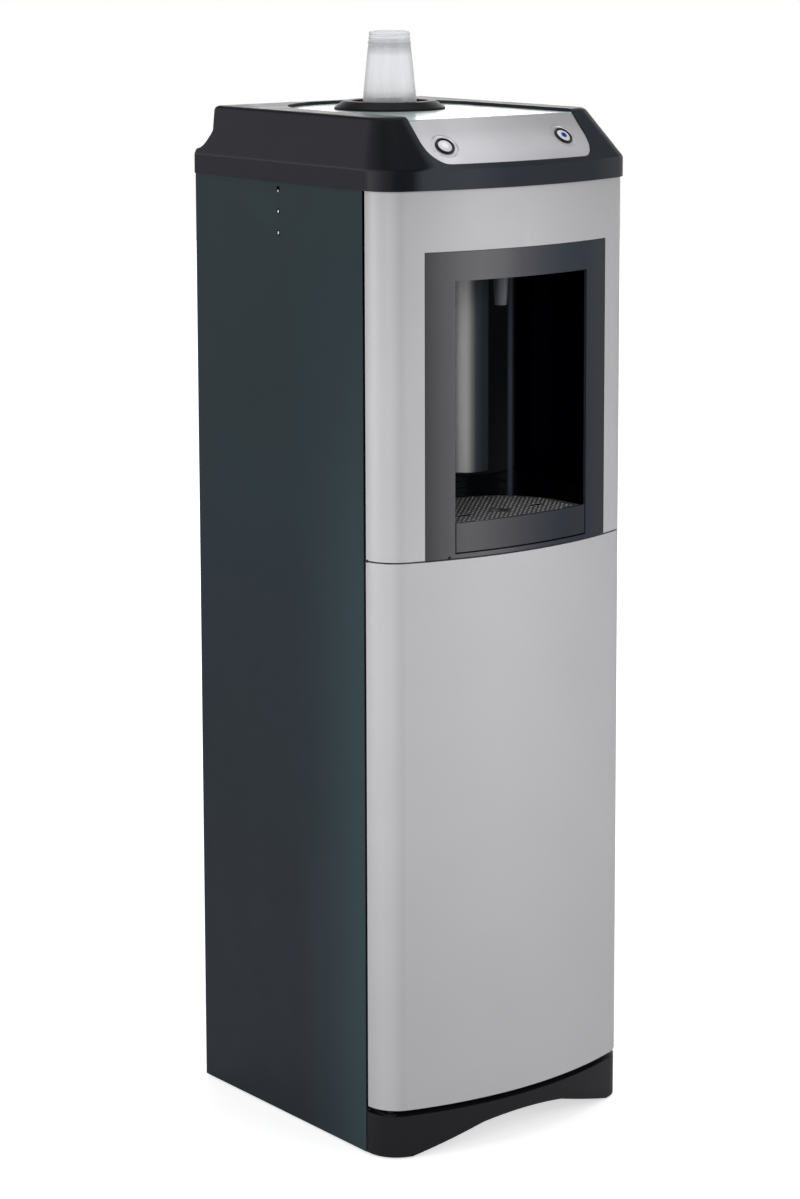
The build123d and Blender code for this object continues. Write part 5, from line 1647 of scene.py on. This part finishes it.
# ------------------------------------------------------------------ cap and controls
@dataclass
class Cap:
    """Moulded top with its sloped control panel and the glass plate."""

    overhang: float = 2.5
    band_top: float = 985.9
    rim_top: float = 1034.1
    lean: float = 25.7
    rear: float = 169.95
    rear_lean: float = 3.0
    crest_y: float = -115.05
    crest_radius: float = 1500.0
    crest_corner: float = 20.0
    edge_round: float = 4.0
    band_round: float = 1.6
    cove: float = 13.0
    field_half: float = 104.5
    field_z: float = 1030.8
    plate_bottom: float = 1026.8
    cup_y: float = 49.95
    tube_hole: float = 40.8
    bore_z: Point = (900.0, 1100.0)    # well past the cap on both sides
    panel_sink: float = 2.0
    sill: float = 989.8
    panel_round: float = 20.0

    def crest(self, inset: float) -> Outline:
        """Plan of the crest at an inset."""
        return Outline(PLAN.half + self.overhang - self.lean - inset, self.crest_corner,
                       self.crest_radius, self.crest_y + inset)

    def body(self, name: str, inset: float, low: float, rounded: bool) -> Workpiece:
        """Tapered solid from a level of the band up to the rim.

        Args:
            name: name of the piece.
            inset: how far its walls lie inside the outer skin.
            low: height of its foot.
            rounded: whether its top edge and the band's edge are rounded.

        Returns:
            The piece.
        """
        band = PLAN.offset(self.overhang - inset)
        rear = self.rear - inset
        solid = band.draw(name, low, rear, closed=True)
        if low < self.band_top:
            solid.rise(self.band_top)
        start = max(low, self.band_top)
        crest = self.crest(inset).draw("crest", self.rim_top, rear - self.rear_lean, closed=True)
        solid.join(crest).bridge(lambda at, way: at.z > start - CLOSE / 2)
        solid.lid(self.rim_top, low).weld().outward()
        if rounded:
            for height, radius, segments in ((self.rim_top, self.edge_round, 5),
                                             (self.band_top, self.band_round, 3)):
                solid.round_edges(lambda at, way, level=height: near(at.z, level), radius,
                                  segments)
        return solid

    def field(self, name: str, half: float, front: float, low: float, high: float) -> Workpiece:
        """Block with straight sides and a half-round rear end.

        Args:
            name: name of the piece.
            half: half width, and radius of the rear end.
            front: Y of its straight front edge.
            low: height of its foot.
            high: height of its top.

        Returns:
            The piece.
        """
        line = Workpiece.thread(name, (-half, front, low))
        line.line((half, front, low), (half, self.cup_y, low)).arc((0, self.cup_y, low), 180, 64)
        return line.line((-half, front, low)).weld().rise(high).lid(low, high).outward()

    def window(self, half: float, sill: float) -> Workpiece:
        """Cutter in the control panel's shape, seen from the front."""
        y, r, head = AHEAD, self.panel_round, self.rim_top + PAST
        line = Workpiece.thread("window", (half, y, head))
        line.line((half, y, sill + r)).arc((half - r, y, sill + r), 90, 12, axis=(0, 1, 0))
        line.line((r - half, y, sill)).arc((r - half, y, sill + r), 90, 12, axis=(0, 1, 0))
        line.line((-half, y, head), (half, y, head)).weld()
        return line.prism((0, self.crest_y + 8 - y, 0))

    def rear_cove(self) -> Workpiece:
        """Cutter for the hollow along the cap's rear, above a low lip."""
        back, lip, top, deep = self.rear, self.band_top + 5, self.rim_top, self.cove
        x = -SPAN
        line = Workpiece.thread("cove", (x, back + PAST, lip))
        line.line((x, back, lip)).arc((x, back, lip + deep), -70, 10, axis=(1, 0, 0))
        line.line((x, back - deep - 1.6, lip + deep + 1.5), (x, back - deep - 2.2, lip + deep + 6),
                  (x, back - 3.4, top - 5), (x, back - 2.6, top - 1.5), (x, back - 5, top + 1),
                  (x, back + PAST, top + 1), (x, back + PAST, lip)).weld()
        return line.prism((2 * SPAN, 0, 0))

    def tube_bore(self) -> Workpiece:
        """Cutter for the round hole that the cup tube stands in."""
        return Workpiece.cylinder("bore", self.tube_hole, *self.bore_z, (0, self.cup_y), 64)

    def shell(self) -> Workpiece:
        """The black moulding."""
        cap = self.body("cap_moulding", 0.0, CABINET_TOP, True).cut(self.rear_cove())
        inside = self.body("inside", MOULDING + 0.6, CABINET_TOP - 1, False)
        inside.keep(Workpiece.block("limit", (-SPAN, SPAN),
                                    (AHEAD, self.rear - self.cove - MOULDING),
                                    (0, self.plate_bottom - MOULDING)))
        recess = self.field("recess", self.field_half, AHEAD, self.plate_bottom,
                            self.rim_top + PAST)
        cap.cut(inside).cut(recess).cut(self.window(self.field_half, self.sill))
        return cap.cut(self.tube_bore()).soften(0.6, 2, BENT)

    def panel(self) -> Workpiece:
        """Silver control panel on the slope, with a dish and a bore for each button."""
        panel = self.body("fascia", self.panel_sink, self.band_top, False)
        panel.cut(self.body("inner", self.panel_sink + MOULDING, self.band_top - 1, False))
        panel.keep(self.window(self.field_half - FIT, self.sill + FIT))
        panel.keep(Workpiece.block("limit", (-SPAN, SPAN), (AHEAD, self.crest_y + 1),
                                   (self.bore_z[0], self.field_z)))
        buttons = Buttons()
        for side in (-1, 1):
            for cutter in buttons.cutters():
                panel.cut(cutter.place(buttons.frame(side)))
        return panel.soften(0.5, 3, BENT)

    def plate(self) -> Workpiece:
        """Glass plate in the sunk field."""
        plate = self.field("glass", self.field_half - FIT, self.crest_y + 1 + FIT,
                           self.plate_bottom, self.field_z)
        return plate.cut(self.tube_bore()).soften(0.7, 3, BENT)

    def build(self) -> None:
        """Make and dress the cap."""
        self.shell().finish(CAP_BLACK, "cabinet", "cap")
        self.panel().finish(PANEL, "cabinet", "control_panel")
        self.plate().finish(GLASS, "cabinet", "top_plate")


@dataclass
class Buttons:
    """The two push buttons with their rings and centre marks."""

    radius: float = 7.7
    bore: float = 8.1
    ring: float = 10.2
    dish_depth: float = 0.9
    flange: float = 9.6
    flange_top: float = -3.5
    flange_thick: float = 2.0
    groove: float = 1.2           # depth of the groove round the dish
    across: float = 76.3          # half the distance between the buttons
    aside: float = -3.9           # X midway between them
    share: float = 0.46           # share of the slope that lies below them
    share_step: float = 0.035     # how much more of it lies below the right one

    def cutters(self) -> list[Workpiece]:
        """Forms of a button's dish, groove and bore, to be cut from the panel."""
        dish, groove = -self.dish_depth, -self.groove
        return [
            Workpiece.turned("dish", [
                (0, dish), (13.0, dish), (14.2, 0.4), (14.2, 5), (0, 5)], steps=64),
            Workpiece.turned("rim", [
                (14.0, groove), (14.8, groove), (14.8, 5), (14.0, 5)], steps=64),
            Workpiece.cylinder("bore", self.bore, -15, 15, sides=48)]

    def frame(self, side: int) -> Matrix:
        """Place and tilt of a button on the slope.

        Args:
            side: -1 for the left button and 1 for the right one.

        Returns:
            The matrix, whose Z points out of the panel.
        """
        cap = Cap()
        x, share = side * self.across + self.aside, self.share + side * self.share_step
        rise = round(cap.rim_top - cap.band_top, 3)
        foot, crest = PLAN.offset(cap.overhang - cap.panel_sink), cap.crest(cap.panel_sink)
        low, high = foot.front(x), crest.front(x)
        lean = (1 - share) * x / (foot.bow_y - low) + share * x / (crest.bow_y - high)
        normal = Vector((lean, -1.0, (high - low) / rise)).normalized()
        origin = Vector((x, low + (high - low) * share, cap.band_top + rise * share))
        return Matrix.Translation(origin) @ normal.to_track_quat("Z", "Y").to_matrix().to_4x4()

    def build(self) -> None:
        """Make and dress both buttons."""
        for side, name, mark in ((-1, "ambient", MARK_PALE), (1, "cold", MARK_BLUE)):
            frame = self.frame(side)
            r, deep = self.radius, -self.dish_depth
            ring = Workpiece.turned(name + "_bezel_ring", [
                (r + 0.3, deep), (self.ring, deep), (self.ring, 0.5), (self.ring - 0.3, 1.0),
                (r + 1.2, 1.5), (r + 0.6, 1.4), (r + 0.3, 1.0)], steps=64)
            ring.place(frame).finish(RING, "cabinet", name + "_ring")
            top = self.flange_top
            button = Workpiece.turned(name + "_push", [
                (0, 1.22), (2.6, 1.2), (r - 2.4, 1.12), (r - 1.2, 0.92), (r - 0.5, 0.55),
                (r - 0.12, 0.1), (r, -0.5), (r, top), (self.flange, top),
                (self.flange, top - self.flange_thick), (0, top - self.flange_thick)], steps=64)
            button.place(frame).finish(BUTTON, name + "_button", name + "_button")
            dot = Workpiece.turned(name + "_dot", [(0, 1.58), (2.0, 1.55), (3.0, 1.4), (3.3, 1.25),
                                                   (3.3, 1.05), (0, 1.05)], steps=48)
            dot.place(frame).finish(mark, name + "_button", name + "_mark")


# ------------------------------------------------------------------ cup dispenser
@dataclass
class CupDispenser:
    """Collar, tube and the stack of upturned cups."""

    y: float = 49.95
    bore: float = 38.5
    wall: float = 2.0
    plate_z: float = 1030.8
    collar_height: float = 8.6
    tube_low: float = 844.5
    top: float = 1110.0
    cup: float = 92.0
    base: float = 20.6
    rim: float = 31.0
    pitch: float = 4.7
    cups: int = 4
    film: float = 0.45            # wall of a cup
    follower_top: float = 1003.9

    def collar(self) -> Workpiece:
        """Sloped black collar on the glass."""
        low, high = self.plate_z, self.plate_z + self.collar_height
        return Workpiece.turned("collar", [
            (self.bore, low), (56.6, low), (57, low + 0.5), (57, low + 1.5), (56.4, low + 2.3),
            (47.6, high - 0.5), (46.3, high), (41.2, high), (39.4, high - 0.5),
            (self.bore, high - 2)], (0, self.y), 96)

    def tube(self) -> Workpiece:
        """Tube that holds the stack, closed at its foot."""
        low, high, outer = self.tube_low, self.plate_z - FIT, self.bore + self.wall
        return Workpiece.turned("dispenser_tube", [
            (0, low), (outer, low), (outer, high), (self.bore, high), (self.bore, low + self.wall),
            (0, low + self.wall)], (0, self.y), 64)

    def crown(self, top: float) -> list[Point]:
        """Profile of a cup's base, from the middle to its edge."""
        return [(0, top - 1.4), (self.base - 3, top - 1.4), (self.base - 2.2, top - 0.3),
                (self.base - 1.4, top)]

    def lip(self, low: float) -> list[Point]:
        """Profile of a cup's rolled rim, from its widest place to its foot."""
        return [(self.rim, low + 1.2), (self.rim - 0.2, low + 0.3), (self.rim - 1.0, low)]

    def stack(self) -> Workpiece:
        """Nested cups, upside down, each with stacking rings by its base."""
        top, rim_z = self.top, self.top - self.cup
        slope = (self.rim - 1.6 - self.base) / self.cup
        outer = self.crown(top) + [(self.base - 0.5, top - 0.4)]
        for drop in (3.0, 7.6, 12.2):
            radius = self.base + slope * drop
            outer += [(radius - 0.2, top - drop + 1.6), (radius + 0.45, top - drop + 0.9),
                      (radius + 0.45, top - drop), (radius - 0.1, top - drop - 0.6)]
        outer += [(self.base + slope * 20, top - 20), (self.rim - 1.6, rim_z + 3),
                  (self.rim - 1.5, rim_z + 2.4), (self.rim - 0.3, rim_z + 2.0), *self.lip(rim_z)]
        inner = [(max(radius - self.film, 0.0), height - (self.film if height > top - 2 else 0.0))
                 for radius, height in outer[::-1][1:]]
        stack = Workpiece.turned("nested_cups", outer + inner, (0, self.y), 72)
        for number in range(1, self.cups):
            high, low = top - self.pitch * number, rim_z - self.pitch * number
            base = Workpiece.turned("base", [
                *self.crown(high), (self.base - 0.7, high - 0.4), (self.base - 0.4, high - 3)],
                (0, self.y), 72, closed=False)
            rim = Workpiece.turned("rim", [
                (self.rim - 1.9, low + 3), (self.rim - 0.4, low + 2), *self.lip(low)],
                (0, self.y), 72, closed=False)
            stack.join(base, rim)
        return stack

    def follower(self) -> Workpiece:
        """Plate that lifts the stack."""
        top, r = self.follower_top, self.bore - 0.5
        return Workpiece.turned("lift_plate", [
            (0, top), (r - 0.6, top), (r, top - 0.6), (r, top - 12), (r - 2, top - 12),
            (r - 2, top - 3), (0, top - 3)], (0, self.y), 64)

    def build(self) -> None:
        """Make and dress the cup dispenser."""
        self.collar().finish(COLLAR, "cabinet", "cup_collar")
        self.tube().finish(COLLAR, "cabinet", "cup_tube")
        self.stack().finish(CUP, "cup_stack", "cup_stack")
        self.follower().finish(INNER, "cup_follower", "cup_follower")


# ------------------------------------------------------------------ bottle bay
@dataclass
class BottleBay:
    """What shows when the door is open: the bottle probe."""

    x: float = 105.0
    y: float = 110.95
    cap_z: float = 470.0
    radius: float = 27.0
    foot: float = 90.0

    def probe(self) -> Workpiece:
        """Bottle cap with a gripped skirt, dip tube and slotted foot."""
        z, r = self.cap_z, self.radius
        cap = Workpiece.turned("bottle_probe", [
            (0, z), (r - 2, z), (r - 0.6, z - 0.5), (r, z - 2), (r - 0.3, z - 26),
            (r - 2.5, z - 26), (r - 2.5, z - 4), (0, z - 4)], (self.x, self.y), 72)
        stem = Workpiece.cylinder("stem", 6.0, self.foot + 14, z - 2, (self.x, self.y), 32)
        foot = Workpiece.turned("foot", [
            (0, self.foot), (8.5, self.foot), (10, self.foot + 2), (10, self.foot + 15),
            (8, self.foot + 19), (6, self.foot + 20), (0, self.foot + 20)], (self.x, self.y), 32)
        spigot = Workpiece.turned("spigot", [
            (0, z - 1), (4.5, z - 1), (4.5, z + 5), (4.9, z + 6), (4.2, z + 9), (4.8, z + 10),
            (4.1, z + 13), (4.0, z + 16), (0, z + 16)], (self.x, self.y), 32)
        return cap.join(stem, foot, spigot)

    def build(self) -> None:
        """Make and dress the probe."""
        self.probe().finish(INNER, "probe", "probe")


# ------------------------------------------------------------------ carried-over nodes
def dress_nodes(frame: Mapping[str, Any]) -> None:
    """Give every node of the frame the finish of its material slot.
    """
    coats = {coat.name: coat for coat in FINISHES}
    for subpart in frame["record"]["subparts"]:
        node = frame["nodes"][subpart["node"]]
        material = coats[subpart["material_slot"]].material()
        if not node.material_slots:
            node.data.materials.append(material)
        for slot in node.material_slots:
            slot.material = material


# ------------------------------------------------------------------ stage
@dataclass
class Stage:
    """Pale floor and backdrop, soft lamps and the camera, in metres."""

    floor_colour: Colour = field(default_factory=lambda: paint(236, 236, 236))
    camera_at: Point = (-2.00872, -2.54709, 1.2260)
    yaw: float = 37.89
    pitch: float = 8.60
    roll: float = -0.16
    lens: float = 96.22
    shift_y: float = -0.1664
    wall_radius: float = 9.0
    wall_height: float = 5.0
    floor_size: float = 40.0
    glow_from: Point = (0.7, 2.4)    # metres out, from the floor's own tone to the backdrop's
    wall_light: float = 0.62
    sky_light: float = 0.14

    def ground(self) -> None:
        """A floor that runs up into a backdrop behind the object."""
        clear_selection()
        bpy.ops.mesh.primitive_plane_add(size=1, location=(0, 0, 0))
        floor = Workpiece("floor")
        floor.place(Matrix.Diagonal((self.floor_size, self.floor_size, 1, 1)))
        sheet = NodeSheet("studio_white")
        path = sheet.node("ShaderNodeLightPath")
        seen = sheet.wire(path, "Is Camera Ray")
        far = (sheet.along(Along.X) ** 2 + sheet.along(Along.Y) ** 2) ** 0.5
        near_glow, far_glow = (0.6, 0.6, 0.6, 1), (1, 1, 1, 1)
        glow = sheet.blend(seen, (0, 0, 0, 1), sheet.blend(far.span(*self.glow_from), near_glow, far_glow))
        shade = sheet.noise(0.6, 2.0)
        colour = sheet.blend(shade, self.floor_colour, tint(self.floor_colour, 0.98))
        shader = sheet.node("ShaderNodeBsdfPrincipled", {}, {
            "Base Color": colour, "Roughness": 0.75, "Emission Color": glow,
            "Emission Strength": 1.0})
        floor.done()
        floor.obj.data.materials.append(sheet.output(shader))

    def wall(self) -> None:
        """Round backdrop: white to the camera, mirrors and glass, and dimmer as a light."""
        wall = Workpiece.turned("backdrop", [
            (self.wall_radius, -0.01), (self.wall_radius, self.wall_height)], steps=96,
            closed=False)
        wall.done()
        sheet = NodeSheet("backdrop_white")
        path = sheet.node("ShaderNodeLightPath")
        seen = (sheet.wire(path, "Is Camera Ray") + sheet.wire(path, "Is Glossy Ray")
                + sheet.wire(path, "Is Transmission Ray"))
        dim = self.wall_light
        glow = sheet.blend(seen.span(0.0, 1.0), (dim, dim, dim, 1), (1, 1, 1, 1))
        shader = sheet.node("ShaderNodeEmission", {}, {"Color": glow, "Strength": 1.0})
        wall.obj.data.materials.append(sheet.output(shader))

    def world(self) -> None:
        """Soft grey light from above."""
        world = bpy.data.worlds.new("studio")
        bpy.context.scene.world = world
        world.use_nodes = True
        background = world.node_tree.nodes["Background"]
        background.inputs["Color"].default_value = (1, 1, 1, 1)
        background.inputs["Strength"].default_value = self.sky_light

    def lamp(self, name: str, at: Point, aim: Point, size: Point, power: float) -> None:
        """Add a soft rectangular lamp.

        Args:
            name: its name.
            at: its place.
            aim: what it points at.
            size: its width and height.
            power: its power in watts.
        """
        light = bpy.data.lights.new(name, "AREA")
        light.shape = "RECTANGLE"
        light.size, light.size_y = size
        light.energy = power
        lamp = bpy.data.objects.new(name, light)
        bpy.context.scene.collection.objects.link(lamp)
        lamp.location = at
        lamp.rotation_euler = (Vector(aim) - Vector(at)).to_track_quat("-Z", "Y").to_euler()

    def camera(self) -> None:
        """The photograph's viewpoint."""
        data = bpy.data.cameras.new("camera")
        data.lens = self.lens
        data.sensor_width = 36.0
        data.shift_y = self.shift_y
        data.clip_end = 60.0
        camera = bpy.data.objects.new("camera", data)
        bpy.context.scene.collection.objects.link(camera)
        camera.matrix_world = (Matrix.Translation(self.camera_at)
                               @ Matrix.Rotation(-math.radians(self.yaw), 4, "Z")
                               @ Matrix.Rotation(math.radians(90 - self.pitch), 4, "X")
                               @ Matrix.Rotation(math.radians(self.roll), 4, "Z"))
        bpy.context.scene.camera = camera

    def build(self) -> None:
        """Set the whole stage."""
        self.camera()
        self.ground()
        self.wall()
        self.world()
        self.lamp("key", (-3.2, -2.6, 2.6), (0, 0, 0.55), (2.2, 2.4), 60)
        self.lamp("left", (-3.4, 0.9, 1.3), (0, 0, 0.6), (1.6, 2.4), 26)
        self.lamp("front", (1.7, -3.4, 1.5), (0, 0, 0.6), (2.4, 2.2), 44)
        self.lamp("top", (0.2, 0.2, 3.2), (0, 0, 0.9), (2.2, 2.2), 26)
        self.lamp("rear", (2.4, 2.8, 2.0), (0, 0, 0.7), (2.0, 2.2), 30)
        view = bpy.context.scene.view_settings
        view.view_transform = "Standard"


def main() -> None:
    """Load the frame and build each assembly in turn."""
    logging.basicConfig(level=logging.INFO, format="%(name)s %(message)s")
    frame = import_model()
    Stage().build()
    dress_nodes(frame)
    for assembly in (Cabinet(), Door(), Dispenser(), Cap(), Buttons(), CupDispenser(), BottleBay()):
        LOG.info("building %s", type(assembly).__name__)
        assembly.build()
    clear_selection()


if __name__ == "__main__":
    main()
